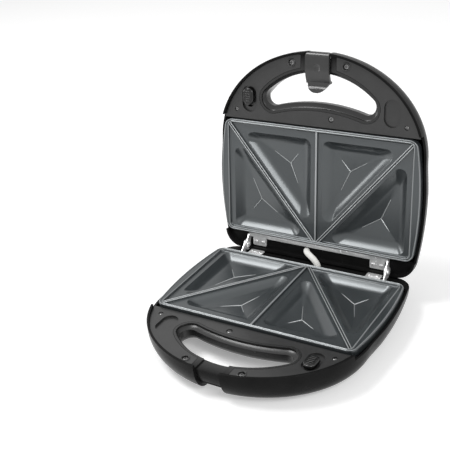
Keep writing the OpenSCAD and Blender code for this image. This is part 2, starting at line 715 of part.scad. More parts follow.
lid_ear_x = hinge_x - steel_t - ear_gap / 2;
base_ear_x = hinge_x + ear_gap / 2;
module base_hinge_bar() color([0.8, 0.81, 0.83]) base_place() hinge_bar(base_ear_x);
module lid_hinge_bar() color([0.8, 0.81, 0.83]) lid_place() hinge_bar(lid_ear_x);
module hinge_rivets() color([0.85, 0.86, 0.88]) base_place() both_sides() {
    head_t = 1.6;
    low = lid_ear_x - 0.15;
    high = base_ear_x + steel_t;
    translate([low - head_t, hinge_y, 0]) rotate([0, 90, 0]) {
        cylinder(r = rivet_r + 1.6, h = head_t);
        cylinder(r = rivet_r, h = high - low + head_t + 0.5);
        translate([0, 0, high - low + head_t]) cylinder(r = rivet_r + 1.6, h = head_t);
    }
}
module base_hinge_screws() color("silver") base_place()
    screws(hinge_screw_spots, len(hinge_screw_spots), bar_z + steel_t, hinge_screw_l);
module lid_hinge_screws() color("silver") lid_place()
    screws(hinge_screw_spots, len(hinge_screw_spots), bar_z + steel_t, hinge_screw_l);

// ---- latch -----------------------------------------------------------------

// Side profile when latched: depth runs into the base, past the parting plane
latch_steps = 7;
arm_end = claw_at + 3.4;
tab_reach = 8;
function arm_outer(d) = -handle_reach + 0.4 + front_inset(max(0, d));
function arm_inner(d) = arm_outer(d) + latch_t;
latch_outline = concat(
    [for (i = [0:latch_steps]) let (d = mid(-pin_drop, claw_at + 1, i / latch_steps)) [arm_outer(d), d]],
    [[arm_outer(arm_end) - 4.6, arm_end + 3], [arm_outer(arm_end) - 6.4, arm_end + tab_reach],
     [arm_outer(arm_end) - 4, arm_end + tab_reach], [arm_outer(arm_end) - 1.8, arm_end + 4],
     [arm_inner(arm_end) - 0.5, arm_end], [arm_inner(claw_at) + claw_h, claw_at + 1.2],
     [arm_inner(claw_at) + claw_h, claw_at]],
    [for (i = [latch_steps:-1:0]) let (d = mid(-pin_drop, claw_at, i / latch_steps)) [arm_inner(d), d]]);
// Turns the latched profile to where it hangs, flat in the lid's channel
module latch() color([0.12, 0.12, 0.125]) lid_place()
    translate([0, pin_y, -pin_drop]) rotate([-90, 0, 0]) translate([0, -pin_y, pin_drop])
    difference() {
        union() {
            along_x(latch_w / 2) polygon(latch_outline);
            translate([0, pin_y, -pin_drop]) along_x(latch_w / 2) circle(r = barrel_r);
        }
        translate([0, pin_y, -pin_drop]) along_x(latch_w) circle(r = latch_pin_r + slip);
        // the thumb tab is half round
        translate([0, 0, arm_end]) rotate([90, 0, 0]) linear_extrude(far, center = true) difference() {
            translate([-latch_w, 0]) square([2 * latch_w, latch_w]);
            translate([0, -4]) circle(r = tab_reach + 4.2);
        }
        // finger dimple
        translate([0, arm_outer(8) - 11.2, 9]) sphere(r = 12.5);
    }
module latch_pin() color("silver") lid_place()
    translate([-pin_l / 2, pin_y, -pin_drop]) rotate([0, 90, 0]) cylinder(r = latch_pin_r, h = pin_l);

// ---- plate releases --------------------------------------------------------

module slider() translate([slider_x, 0, 0]) {
    top = -panel_drop + button_h;
    low = -panel_drop - slot_sink + 0.2;
    difference() {
        translate([0, slider_y, low]) linear_extrude(top - low) obround(button_w, button_l);
        for (i = [-2:2]) translate([0, slider_y + i * 2.8, top])
            rotate([0, 90, 0]) cylinder(r = 0.7, h = button_w - 4, center = true);
    }
    translate([0, slider_y, flange_z - flange_t / 2]) linear_extrude(low - flange_z + flange_t)
        obround(stem_w, stem_l);
    slab(-flange_hw, flange_hw, slider_y - stem_l / 2 - 1, slider_y + stem_l / 2 + 1,
         flange_z - flange_t, flange_z);
    slab(-hook_hw, hook_hw, slider_y - 4, slider_y + 4, bar_low, flange_z - flange_t / 2);
    slab(-hook_hw, hook_hw, slider_y - 4, hook_y + 2, bar_low, bar_low + bar_t);
    // hook over the plate's lug
    slab(-hook_hw, hook_hw, hook_y, hook_y + 2, bar_low, -plate_skirt + 3);
    slab(-hook_hw, hook_hw, hook_y - 1.8, hook_y + 2, -plate_skirt + 2, -plate_skirt + 3);
    // lug that pushes the spring
    slab(-9, -6, slider_y + stem_l / 2 - 1, slider_y + stem_l / 2 + 1,
         spring_z - spring_r, flange_z - flange_t / 2);
}
// Return spring: a wire wound between the slider's lug and the rail
spring_from = slider_y + stem_l / 2 + 1.3;
spring_to = rail_y - rail_t / 2 - 0.3;
spring_turns = 6;
spring_wire = 0.35;
spring_facets = 10;
module release_spring() {
    steps = spring_turns * spring_facets;
    loft([for (i = [0:steps]) let (a = 360 * i / spring_facets,
            y = mid(spring_from + spring_wire, spring_to - spring_wire, i / steps))
        [for (k = [0:5]) let (b = 60 * k, r = spring_r - spring_wire - spring_wire * cos(b))
            [spring_x + r * cos(a), y + spring_wire * sin(b), spring_z + r * sin(a)]]]);
}
module base_slider() color([0.16, 0.16, 0.17]) base_place() slider();
module lid_slider() color([0.16, 0.16, 0.17]) lid_place() slider();
module base_slider_spring() color("silver") base_place() release_spring();
module lid_slider_spring() color("silver") lid_place() release_spring();

// ---- outer face of the lid -------------------------------------------------

// Trim outline: straight rear corners, bulging sides, curved front edge
module trim_shape(inset) {
    hw = trim_hw - inset;
    rear = trim_y - inset;
    difference() {
        intersection() {
            translate([-hw, -far / 2]) square([2 * hw, far / 2 + rear]);
            polygon(housing_ring(trim_side + inset - 1.5, 0));
        }
        translate([0, -trim_mid - trim_r]) circle(r = trim_r + inset, $fn = 120);
        translate([-far / 2, -far]) square([far, far - shoulder_y - 6]);
    }
}
module trim_panel() color([0.86, 0.87, 0.88]) lid_place()
    translate([0, 0, -shell_depth]) linear_extrude(trim_t) trim_shape(trim_gap);

// Lens outline: flat at one end, round at the other; side is the round end
module lens_shape(side, inset) {
    w = lens_w - 2 * inset;
    l = lens_l - 2 * inset;
    translate([side * (l / 2 - w / 2), 0]) circle(d = w);
    translate([side > 0 ? -l / 2 : -l / 2 + w / 2, -w / 2]) square([l - w / 2, w]);
}
module lens(x, side) translate([x, lens_y, 0]) difference() {
    union() {
        translate([0, 0, -shell_depth - 0.8]) linear_extrude(wall + 0.8) lens_shape(side, 0.15);
        translate([0, 0, floor_z]) linear_extrude(1) lens_shape(side, -1.2);
    }
    translate([0, 0, floor_z - wall + 0.6]) linear_extrude(wall + 2) lens_shape(side, 1.6);
}
module green_lens() color([0.1, 0.65, 0.4]) lid_place() lens(green_x, -1);
module red_lens() color([0.85, 0.15, 0.1]) lid_place() lens(red_x, 1);
lamp_r = 2;
lamp_l = 13;
lamp_z = floor_z + lamp_r + 1.1;
holder_z = lamp_z + lamp_r;
module indicator_lamps() color([1, 0.75, 0.5]) lid_place()
    for (x = [green_x, red_x]) translate([x - lamp_l / 2, lens_y, lamp_z]) rotate([0, 90, 0]) {
        cylinder(r = lamp_r, h = lamp_l - lamp_r);
        translate([0, 0, lamp_l - lamp_r]) sphere(r = lamp_r);
    }
module lamp_holder() color([0.85, 0.84, 0.8]) lid_place() {
    mid_x = (green_x + red_x) / 2;
    low = green_x - lens_l / 2 - 5;
    high = red_x + lens_l / 2 + 5;
    slab(low, high, lens_y - 3, lens_y + 3, holder_z, holder_z + 1);
    for (x = [low + 1.5, mid_x, high - 1.5])
        slab(x - 1.5, x + 1.5, lens_y - 3, lens_y + 3, floor_z, holder_z + 1);
}

// ---- feet, inlet and wiring ------------------------------------------------

module feet() color([0.09, 0.09, 0.09]) base_place() spots(foot_spots) {
    rod(foot_r, -shell_depth - foot_h, -shell_depth);
    rod(foot_peg_r - slip, -shell_depth - over, floor_z + 0.5);
}
module cord_gland() color([0.1, 0.1, 0.1]) base_place()
    translate([gland_x, rear_reach, gland_z]) rotate([90, 0, 0]) difference() {
        union() {
            translate([0, 0, 0.6]) cylinder(r = gland_r - slip, h = 6.6);
            translate([0, 0, 6.1]) cylinder(r = gland_r + 1.5, h = 1.5);
        }
        translate([0, 0, -over]) cylinder(r = 3.2, h = 12);
    }
block_x = -26;
block_y = deck_y - 5.2;
module terminal_block() color([0.9, 0.88, 0.82]) base_place() difference() {
    slab(block_x - 10, block_x + 10, block_y - 3.6, block_y + 3.6, floor_z, floor_z + 10);
    for (x = [-5, 5]) translate([block_x + x, block_y, floor_z + 5]) rod(1.6, 0, 6);
}
thermostat_y = -20;
thermostat_top = -plate_gap / 2 - field_drop - plate_t - 0.3;
module thermostat() color([0.88, 0.86, 0.8]) base_place() {
    slab(-4.5, 4.5, thermostat_y - 9, thermostat_y + 9, thermostat_top - 7, thermostat_top - 0.8);
    translate([0, thermostat_y, 0]) rod(3, thermostat_top - 1, thermostat_top);
    slab(-1, 1, thermostat_y - 5, thermostat_y + 5, reflector_z + reflector_t, thermostat_top - 6.5);
    slab(-4, 4, thermostat_y - 5, thermostat_y + 5, reflector_z + reflector_t, reflector_z + reflector_t + 1);
}
fuse_y = 14;
module thermal_fuse() color([0.8, 0.65, 0.35]) base_place() {
    translate([0, fuse_y - 8, reflector_z + 6]) rotate([-90, 0, 0]) cylinder(r = 2, h = 16);
    for (y = [-5, 5]) slab(-1.2, 1.2, fuse_y + y - 1, fuse_y + y + 1,
                           reflector_z + reflector_t, reflector_z + 5);
}
// A wire along straight runs, with round bends
module wire(pts, r) for (i = [0:len(pts) - 2]) {
    run = pts[i + 1] - pts[i];
    translate(pts[i]) {
        sphere(r = r, $fn = 24);
        rotate([0, acos(run.z / norm(run)), atan2(run.y, run.x)]) cylinder(r = r, h = norm(run), $fn = 24);
    }
    translate(pts[i + 1]) sphere(r = r, $fn = 24);
}
wire_r = 1.1;
module base_wiring() color([0.92, 0.92, 0.9]) base_place() {
    z = floor_z + 5;
    for (s = [-1, 1]) let (x = gland_x + s * 1.4, y = block_y + s * 1.6)
        wire([[x, rear_reach - 2, gland_z], [x, y, gland_z], [x, y, z],
              [block_x - 10.1 - wire_r, y, z]], wire_r);
}
module lid_wiring() color([0.92, 0.92, 0.9]) lid_place() {
    y = lens_y + 3.1 + wire_r;
    for (x = [green_x, red_x])
        wire([[x, y, holder_z], [x, y + 6, holder_z], [x, y + 6, floor_z + wire_r],
              [x, deck_y - 3, floor_z + wire_r]], wire_r);
}
// Sleeve from the base deck to the lid deck, behind the plates
function lid_point(p) =
    let (y = p.y - hinge_y, z = -p.z)
    [-p.x, hinge_y + y * cos(open_angle) + z * sin(open_angle), -y * sin(open_angle) + z * cos(open_angle)];
sleeve_start = [sleeve_base.x, sleeve_base.y, deck_z - wall];
sleeve_end = lid_point([sleeve_lid.x, sleeve_lid.y, deck_z - wall]);
sleeve_out = lid_point([sleeve_lid.x, sleeve_lid.y, deck_z + 7.5]) - sleeve_end;
function bezier(a, b, c, d, t) =
    a * (1 - t) ^ 3 + 3 * b * t * (1 - t) ^ 2 + 3 * c * t ^ 2 * (1 - t) + d * t ^ 3;
module wire_sleeve() color([0.95, 0.95, 0.93]) base_place() {
    bend = 1.25;
    path = [for (i = [0:12]) bezier(sleeve_start, sleeve_start + bend * [0, 0, 10],
        sleeve_end + bend * sleeve_out, sleeve_end, i / 12)];
    loft([for (i = [0:12])
        let (t = path[min(12, i + 1)] - path[max(0, i - 1)], w = t / norm(t),
             u = cross([1, 0, 0], w) / norm(cross([1, 0, 0], w)), v = cross(w, u))
        [for (k = [0:11]) path[i] + sleeve_r * (cos(30 * k) * u + sin(30 * k) * v)]]);
}

echo(mid_y = mid_y, hinge = [0, hinge_y - mid_y, parting_z],
     pin = lid_point([0, pin_y, -pin_drop]) + [0, -mid_y, parting_z], rear = rear_reach);

base_cover();
base_panel();
base_plate();
base_element();
base_reflector();
base_reflector_screws();
base_hinge_bar();
base_hinge_screws();
base_panel_screws();
hinge_rivets();
feet();
cord_gland();
terminal_block();
thermostat();
thermal_fuse();
base_wiring();
wire_sleeve();
base_slider();
base_slider_spring();
lid_cover();
lid_panel();
lid_plate();
lid_element();
lid_reflector();
lid_reflector_screws();
lid_hinge_bar();
lid_hinge_screws();
lid_panel_screws();
trim_panel();
green_lens();
red_lens();
indicator_lamps();
lamp_holder();
lid_wiring();
lid_slider();
lid_slider_spring();
latch_pin();
latch();
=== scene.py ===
"""Two-slice sandwich toaster, shown open: its finish and detailed meshes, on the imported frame.

Each half is modelled lying flat, in millimetres, with its parting plane at z = 0, its outer
face down and the middle of its plate over the origin, and is then put where the frame has it.
"""
import json
from math import atan, atan2, cos, degrees, hypot, pi, radians, sin, sqrt

import bmesh
import bpy
from mathutils import Matrix, Vector


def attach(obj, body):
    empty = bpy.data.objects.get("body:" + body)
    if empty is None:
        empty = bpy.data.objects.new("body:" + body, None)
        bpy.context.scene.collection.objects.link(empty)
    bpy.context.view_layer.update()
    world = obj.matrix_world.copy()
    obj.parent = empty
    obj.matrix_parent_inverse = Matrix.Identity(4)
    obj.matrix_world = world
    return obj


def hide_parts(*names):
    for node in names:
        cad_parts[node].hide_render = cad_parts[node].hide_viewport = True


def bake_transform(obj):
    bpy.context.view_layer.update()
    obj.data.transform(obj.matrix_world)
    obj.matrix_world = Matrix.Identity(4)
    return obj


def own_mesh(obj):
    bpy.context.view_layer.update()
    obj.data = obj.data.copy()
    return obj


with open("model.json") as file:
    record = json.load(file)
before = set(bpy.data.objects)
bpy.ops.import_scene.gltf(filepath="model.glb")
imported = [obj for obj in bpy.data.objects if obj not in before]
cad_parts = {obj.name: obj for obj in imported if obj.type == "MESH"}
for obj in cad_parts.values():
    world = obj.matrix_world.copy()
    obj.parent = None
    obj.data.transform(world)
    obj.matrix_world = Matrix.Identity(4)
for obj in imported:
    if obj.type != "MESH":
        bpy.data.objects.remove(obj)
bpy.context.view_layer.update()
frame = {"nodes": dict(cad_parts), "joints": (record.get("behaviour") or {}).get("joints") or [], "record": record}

# ---- sizes, in millimetres ----

# Where cutters end that reach beyond the piece
FAR = 200
SHELL_DEPTH = 33
FACE_Z = -SHELL_DEPTH
WALL = 2.5
HANDLE_REACH = 144.5
SHOULDER_HW = 119
SHOULDER_Y = 42
SIDE_PEAK = -5
SIDE_BULGE = 2
SIDE_R = 370
REAR_CORNER_R = 20
SIDE_STRAIGHT = 5
ROLL_FRONT, ROLL_SIDE, ROLL_REAR = 20, 18, 11
PLATE_HW, PLATE_HD = 111, 64.8
PLATE_BULGE = 6
PLATE_CORNER_R = 8
PLATE_SKIRT = 8
PLATE_GAP = 0.3
PLATE_T = 2
FIELD_DROP = 2.6
RIM_W = 3
POCKET_DEPTH = 6.5
CREASE_DEPTH = 2.5
POCKET_R = 7
POCKET_SLOPE = 7
PANEL_DROP = 3.5
PANEL_T = 2.5
HINGE_Y = 79.9
REAR_REACH = HINGE_Y + 4.9
RIM_DROP = 6
DECK_Y = PLATE_HD + 1.7
DECK_Z = -7.5
PANEL_Y = -PLATE_HD - 1
RAIL_Y = PANEL_Y - 4
CHANNEL_HW = 14
CHANNEL_DEPTH = 4.3
CHANNEL_INNER = 5
CORE_HW = CHANNEL_HW + 6
CORE_Y = -HANDLE_REACH + 28
PIN_Y, PIN_Z, BARREL_R = -HANDLE_REACH + 5.5, -5, 5
LATCH_W = 27
LATCH_T = 3.3
# The claw: how far below the parting plane when latched, its height, and the arm's end below it
CLAW_AT, CLAW_H, CLAW_END = 20, 2.6, 3.4
SCREW_R, HEAD_R, SMALL_HEAD_R = 1.4, 2.8, 2
SCREW_SEAT, PANEL_SCREW_L, HINGE_SCREW_L = -PANEL_DROP - PANEL_T + 1.1, 10, 5.5
SLIDER_X, SLIDER_Y, SLIDER_TRAVEL = 82, -PLATE_HD - 26.5, 5
BUTTON_W, BUTTON_L, BUTTON_H = 13, 19, 4.5
TRACK_Y, TRACK_W, TRACK_L, TRACK_SINK = SLIDER_Y + 3.1, BUTTON_W + 4.5, BUTTON_L + 9.5, 2.2
HOOK_Y = -PLATE_HD + 4.6
PANEL_SCREWS = [(31, -HANDLE_REACH + 13.5, HEAD_R), (-31, -HANDLE_REACH + 13.5, HEAD_R),
                (-15.5, -PLATE_HD - 10.6, HEAD_R),
                (98, -PLATE_HD - 10.7, SMALL_HEAD_R), (-98, -PLATE_HD - 10.7, SMALL_HEAD_R)]
STEEL_T, EAR_R, RIVET_R = 1.2, 6, 2
HINGE_X, TAB_L = 85, 17
TAB_X = HINGE_X - 5 - TAB_L / 2
HINGE_SCREWS = [(s * (TAB_X + t * 4.5), HINGE_Y - 3.4, SMALL_HEAD_R)
                for s in (-1, 1) for t in (-1, 1)]
BAR_Z = DECK_Z + 0.9
STRIP_Y, STRIP_W = PLATE_HD + 2.2, 4.5
LID_EAR_X, BASE_EAR_X = HINGE_X - STEEL_T - 0.15, HINGE_X + 0.15
SLEEVE_R = 3.5
CREASE_SHARE = 0.62
LENS_L, LENS_W, LENS_Y = 20, 13, -31
FOOT_X, GLAND_X, GLAND_Z = 86, -48, -19
# Place across and round side of the green and the red lens
LENSES = ((-6.5, -1), (20, 1))
TRIM_SIDE, TRIM_R, TRIM_MID, TRIM_T = 20, 168, 8, 0.6
TRIM_HW, TRIM_Y = SHOULDER_HW + SIDE_BULGE - TRIM_SIDE, REAR_REACH - 12.5

joints = {j["name"]: j for j in frame["joints"]}
hinge_at = Vector(joints["lid_hinge"]["pos_m"]) * 1000
open_angle = radians(joints["lid_hinge"]["range_deg"][1])
TO_METRES = Matrix.Scale(0.001, 4)
BASE = TO_METRES @ Matrix.Translation(hinge_at) @ Matrix.Translation((0, -HINGE_Y, 0))
LID = (TO_METRES @ Matrix.Translation(hinge_at) @ Matrix.Rotation(-open_angle, 4, "X")
       @ Matrix.Translation((0, -HINGE_Y, 0)) @ Matrix.Rotation(pi, 4, "Y"))
# The latch is drawn as latched and hangs open in the frame
UNLATCHED = (Matrix.Translation((0, PIN_Y, PIN_Z)) @ Matrix.Rotation(-pi / 2, 4, "X")
             @ Matrix.Translation((0, -PIN_Y, -PIN_Z)))
PLACES = {"base": BASE, "base_slider": BASE, "lid": LID, "lid_slider": LID,
          "latch": LID @ UNLATCHED}


# ---- materials ----

def new_material(name):
    """An empty material and its shader."""
    mat = bpy.data.materials.new(name)
    mat.use_nodes = True
    return mat, mat.node_tree.nodes["Principled BSDF"]


def add_node(owner, kind, **inputs):
    """A new node in a material or world, with some inputs set."""
    node = owner.node_tree.nodes.new("ShaderNode" + kind)
    set_inputs(node, inputs)
    return node


def set_inputs(node, values):
    for key, value in values.items():
        node.inputs[key].default_value = value


def link(owner, source, target):
    owner.node_tree.links.new(source, target)


def noise(mat, scale, detail, stretch=(1, 1, 1)):
    """Noise from 0 to 1 in the object's own coordinates, scale per metre."""
    at = add_node(mat, "TexCoord")
    mapping = add_node(mat, "Mapping", Scale=[s * scale for s in stretch])
    link(mat, at.outputs["Object"], mapping.inputs["Vector"])
    tex = add_node(mat, "TexNoise", Scale=1, Detail=detail)
    link(mat, mapping.outputs["Vector"], tex.inputs["Vector"])
    return tex.outputs["Fac"]


def ramp(mat, source, *stops):
    """The colours of two (position, colour) stops, mixed by source."""
    node = add_node(mat, "ValToRGB")
    for element, (at, colour) in zip(node.color_ramp.elements, stops):
        element.position = at
        element.color = (*colour, 1)
    link(mat, source, node.inputs["Fac"])
    return node.outputs["Color"]


def spread(owner, source, low, high):
    """source, from 0..1, spread to low..high."""
    node = add_node(owner, "MapRange", **{"To Min": low, "To Max": high})
    link(owner, source, node.inputs["Value"])
    return node.outputs["Result"]


def bump(mat, shader, source, depth):
    """Bump of a depth in metres on the shader's normal."""
    node = add_node(mat, "Bump", Strength=1, Distance=depth)
    link(mat, source, node.inputs["Height"])
    link(mat, node.outputs["Normal"], shader.inputs["Normal"])


def recolour(mat, shader, attribute, plain, colour):
    """Base colour plain, and colour where the vertex attribute is 1; returns the attribute."""
    share = add_node(mat, "Attribute")
    share.attribute_name = attribute
    mixed = add_node(mat, "Mix")
    mixed.data_type = "RGBA"
    link(mat, share.outputs["Fac"], mixed.inputs["Factor"])
    link(mat, plain, mixed.inputs["A"])
    mixed.inputs["B"].default_value = (*colour, 1)
    link(mat, mixed.outputs["Result"], shader.inputs["Base Color"])
    return share.outputs["Fac"]


def moulded(name, dark, light, rough, grain=2200, depth=0.00003, coat=0, gloss=0.5, painted_light=None):
    """Moulded plastic: fine grain, and broad, faint changes of shade and gloss.

    The last argument is painted light: a lighter colour and a higher gloss, a lit copy of the plastic, where the
    vertex attribute of that name is 1.
    """
    mat, shader = new_material(name)
    broad = noise(mat, 60, 3)
    shade = ramp(mat, broad, (0.3, dark), (0.7, light))
    link(mat, shade, shader.inputs["Base Color"])
    link(mat, spread(mat, broad, rough - 0.04, rough + 0.04), shader.inputs["Roughness"])
    bump(mat, shader, noise(mat, grain, 2), depth)
    set_inputs(shader, {"Specular IOR Level": gloss, "Coat Weight": coat, "Coat Roughness": 0.2})
    # Painted light and painted reflection where the mesh marks it
    if painted_light:
        share = recolour(mat, shader, "painted_light", shade, painted_light[0])
        link(mat, spread(mat, share, gloss, painted_light[1]), shader.inputs["Specular IOR Level"])
    return mat


def metal(name, dark, light, rough, grain, stretch=(1, 1, 1), depth=0.00001, bare=1.0, uneven=1.0):
    """Bare or plated metal, with grain that may be stretched along one axis."""
    mat, shader = new_material(name)
    shader.inputs["Metallic"].default_value = bare
    lines = noise(mat, grain, 4, stretch)
    link(mat, ramp(mat, lines, (0.25, dark), (0.75, light)), shader.inputs["Base Color"])
    link(mat, spread(mat, lines, rough - 0.06 * uneven, rough + 0.08 * uneven),
         shader.inputs["Roughness"])
    bump(mat, shader, lines, depth)
    return mat


def grey(value, tint=(1, 1, 1)):
    return tuple(value * t for t in tint)


def coated_plate():
    """Cast plate with a grey non-stick coating: fine speckle, semi-gloss, and a painted highlight on its crests.
    """
    mat, shader = new_material("coated_plate")
    speckle = noise(mat, 1500, 3)
    cool = (0.86, 1.0, 1.07)
    coating = ramp(mat, speckle, (0.3, grey(0.019, cool)), (0.7, grey(0.030, cool)))
    # Painted highlight: where the mesh marks a crest, the colour turns light grey and half metallic
    crest_highlight = recolour(mat, shader, "crest_highlight", coating, (0.42, 0.435, 0.44))
    link(mat, spread(mat, crest_highlight, 0, 0.5), shader.inputs["Metallic"])
    link(mat, spread(mat, noise(mat, 45, 2), 0.26, 0.31), shader.inputs["Roughness"])
    bump(mat, shader, speckle, 0.000006)
    set_inputs(shader, {"Specular IOR Level": 1.0, "Specular Tint": (0.95, 1, 1.02, 1)})
    return mat


def braid_fabric():
    """White glass-fibre yarn, finely uneven."""
    mat, shader = new_material("glass_fibre_sleeve")
    yarn = noise(mat, 3000, 3, (1, 1, 0.3))
    link(mat, ramp(mat, yarn, (0.3, (0.62, 0.62, 0.58)), (0.6, (0.86, 0.86, 0.83))),
         shader.inputs["Base Color"])
    set_inputs(shader, {"Roughness": 0.75, "Sheen Weight": 0.3})
    bump(mat, shader, yarn, 0.00008)
    return mat


def lens_plastic(name, colour):
    """Tinted plastic that lets light through."""
    mat, shader = new_material(name)
    darker = tuple(c * 0.6 for c in colour)
    link(mat, ramp(mat, noise(mat, 120, 1), (0.3, darker), (0.7, colour)),
         shader.inputs["Base Color"])
    set_inputs(shader, {"Roughness": 0.12, "Transmission Weight": 0.25, "Coat Weight": 0.5})
    return mat


# What moulded() and metal() take for each slot of the record
MOULDED = {
    # The cover's last value is painted light: lighter and glossier where the collar round the finger hole catches
    # the lamps
    "cover_plastic": (grey(0.007), grey(0.010), 0.26, 2200, 0.00003, 0, 0.05, (grey(0.018), 0.4)),
    "panel_plastic": (grey(0.019), grey(0.025), 0.30, 2200, 0.00004, 0, 0.55),
    "slider_plastic": (grey(0.003), grey(0.005), 0.14, 2200, 0.00003, 0.25, 0.4),
    "latch_plastic": (grey(0.026), grey(0.032), 0.24),
    "foot_rubber": (grey(0.008), grey(0.013), 0.75, 900, 0.00008),
    "gland_rubber": (grey(0.010), grey(0.016), 0.70, 900, 0.00008),
    "ceramic": ((0.66, 0.62, 0.52), (0.78, 0.75, 0.66), 0.45, 700),
    "wire_insulation": (grey(0.7), grey(0.8), 0.35, 300)}
METALS = {
    "element_steel": ((0.16, 0.13, 0.11), (0.34, 0.31, 0.28), 0.42, 400),
    "sheet_metal": (grey(0.55), grey(0.72), 0.30, 300, (0.1, 1, 1)),
    "hinge_steel": (grey(0.7), grey(0.86), 0.24, 260, (1, 1, 1), 0.00001, 0.55),
    "screw_steel": (grey(0.6), grey(0.8), 0.22, 900, (1, 1, 1), 0.00001, 0.7),
    "panel_screw_steel": (grey(0.13), grey(0.24), 0.22, 900),
    "spring_steel": (grey(0.5), grey(0.7), 0.25, 900),
    "trim_steel": (grey(0.56), grey(0.64), 0.34, 2500, (0.02, 1, 1), 0.0000002, 1.0, 0.1),
    "fuse_body": ((0.5, 0.36, 0.14), (0.72, 0.55, 0.27), 0.3, 500)}
TINTED = {"green_lens": (0.03, 0.42, 0.19), "red_lens": (0.75, 0.06, 0.03),
          "lamp_glass": (0.9, 0.62, 0.4)}


def make_materials():
    """One material for each slot of the record."""
    made = {"coated_plate": coated_plate(), "glass_fibre_sleeve": braid_fabric()}
    made.update({name: moulded(name, *values) for name, values in MOULDED.items()})
    made.update({name: metal(name, *values) for name, values in METALS.items()})
    made.update({name: lens_plastic(name, colour) for name, colour in TINTED.items()})
    return made


# ---- mesh helpers ----

def mix(a, b, f):
    return a + (b - a) * f


def arc(centre, radius, start, end, steps):
    """Points of an arc, angles in degrees."""
    return [(centre[0] + radius * cos(radians(mix(start, end, i / steps))),
             centre[1] + radius * sin(radians(mix(start, end, i / steps))))
            for i in range(steps + 1)]


def at_z(points, z):
    return [(x, y, z) for x, y in points]


def new_object(data, name="piece"):
    obj = bpy.data.objects.new(name, data)
    bpy.context.scene.collection.objects.link(obj)
    return obj


def mesh_object(verts, faces):
    mesh = bpy.data.meshes.new("piece")
    mesh.from_pydata(verts, [], faces)
    return new_object(mesh)


def loft(rings, cap_first=True, cap_last=True):
    """Solid or skin through closed rings of the same count, lowest first."""
    n = len(rings[0])
    verts = [p for ring in rings for p in ring]
    faces = []
    for a in range(0, len(verts) - n, n):
        b = a + n
        faces += [(a + i, a + (i + 1) % n, b + (i + 1) % n, b + i) for i in range(n)]
    if cap_first:
        faces.append(tuple(range(n - 1, -1, -1)))
    if cap_last:
        faces.append(tuple(range(len(verts) - n, len(verts))))
    return mesh_object(verts, faces)


def prism(outline, low, high):
    return loft([at_z(outline, low), at_z(outline, high)])


def slab(x0, x1, y0, y1, z0, z1):
    """A box between its corners."""
    return prism([(x0, y0), (x1, y0), (x1, y1), (x0, y1)], z0, z1)


def rod(centre, radius, low, high):
    return prism(arc(centre, radius, 0, 360, 32)[:-1], low, high)


def axle(centre, shape, steps):
    """Solid round a line across, at a (y, z) centre, through (x, radius) pairs."""
    return weld(loft([[(x, y, z) for y, z in arc(centre, radius, 0, 360, steps)[:-1]]
                      for x, radius in shape]))


def apply_modifiers(obj):
    """Replaces the object's mesh by what its modifiers make of it."""
    graph = bpy.context.evaluated_depsgraph_get()
    mesh = bpy.data.meshes.new_from_object(obj.evaluated_get(graph))
    obj.modifiers.clear()
    old = obj.data
    obj.data = mesh
    bpy.data.meshes.remove(old)


def remove(objs):
    """Deletes the objects' meshes, which takes the objects with them."""
    for obj in objs:
        bpy.data.meshes.remove(obj.data)


def combine(target, others, operation="DIFFERENCE"):
    """Cuts the other solids from the target, or adds or intersects them."""
    for other in others:
        mod = target.modifiers.new("combine", "BOOLEAN")
        mod.operation = operation
        mod.solver = "MANIFOLD"
        mod.object = other
    apply_modifiers(target)
    remove(others)
    return target


def join(objs):
    """One object that holds the meshes of all."""
    made = bmesh.new()
    for obj in objs:
        made.from_mesh(obj.data)
    remove(objs)
    mesh = bpy.data.meshes.new("piece")
    made.to_mesh(mesh)
    made.free()
    return new_object(mesh)


def filled(outlines, z, fill, **settings):
    """Mesh of a filled flat curve: the first outline is its edge, the others are holes."""
    curve = bpy.data.curves.new("piece", "CURVE")
    curve.dimensions = "2D"
    curve.fill_mode = fill
    for points in outlines:
        spline = curve.splines.new("POLY")
        spline.points.add(len(points) - 1)
        for point, (x, y) in zip(spline.points, points):
            point.co = (x, y, 0, 1)
        spline.use_cyclic_u = True
    for key, value in settings.items():
        setattr(curve, key, value)
    source = new_object(curve)
    mesh = bpy.data.meshes.new_from_object(source)
    bpy.data.objects.remove(source)
    mesh.transform(Matrix.Translation((0, 0, z)))
    return new_object(mesh)


def flat_solid(outline, low, high, edge, steps=3):
    """Solid between two heights, with rounded edges."""
    return weld(filled([outline], (low + high) / 2, "BOTH", extrude=(high - low) / 2 - edge,
                       bevel_depth=edge, bevel_resolution=steps, offset=-edge))


def weld(obj, gap=0.001):
    work = bmesh.new()
    work.from_mesh(obj.data)
    bmesh.ops.remove_doubles(work, verts=work.verts, dist=gap)
    bmesh.ops.recalc_face_normals(work, faces=work.faces)
    work.to_mesh(obj.data)
    work.free()
    return obj


def round_edges(obj, width, angle=35, steps=2):
    mod = obj.modifiers.new("edges", "BEVEL")
    mod.width = width
    mod.segments = steps
    mod.limit_method = "ANGLE"
    mod.angle_limit = radians(angle)
    mod.miter_outer = "MITER_ARC"
    apply_modifiers(obj)


def paint(obj, attribute, values):
    """Gives the mesh a number at each vertex, for its material."""
    obj.data.attributes.new(attribute, "FLOAT", "POINT").data.foreach_set("value", values)


def finish_mesh(obj, angle=32):
    """Smooth shading with sharp edges above an angle, and normals that keep flats flat."""
    obj.data.polygons.foreach_set("use_smooth", [True] * len(obj.data.polygons))
    obj.data.set_sharp_from_angle(angle=radians(angle))
    mod = obj.modifiers.new("normals", "WEIGHTED_NORMAL")
    mod.keep_sharp = True


def dress(obj, node, suffix, body, angle=32):
    """Puts a finished mesh in the place of a CAD node and says what it is."""
    obj.name = obj.data.name = node + "_" + suffix
    obj.data.transform(PLACES[body])
    obj.data.update()
    finish_mesh(obj, angle)
    obj.data.materials.clear()
    obj.data.materials.append(materials[slot_of[node]])
    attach(obj, body)
    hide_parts(node)


# ---- outlines ----

def smooth(u):
    return u * u * (3 - 2 * u)


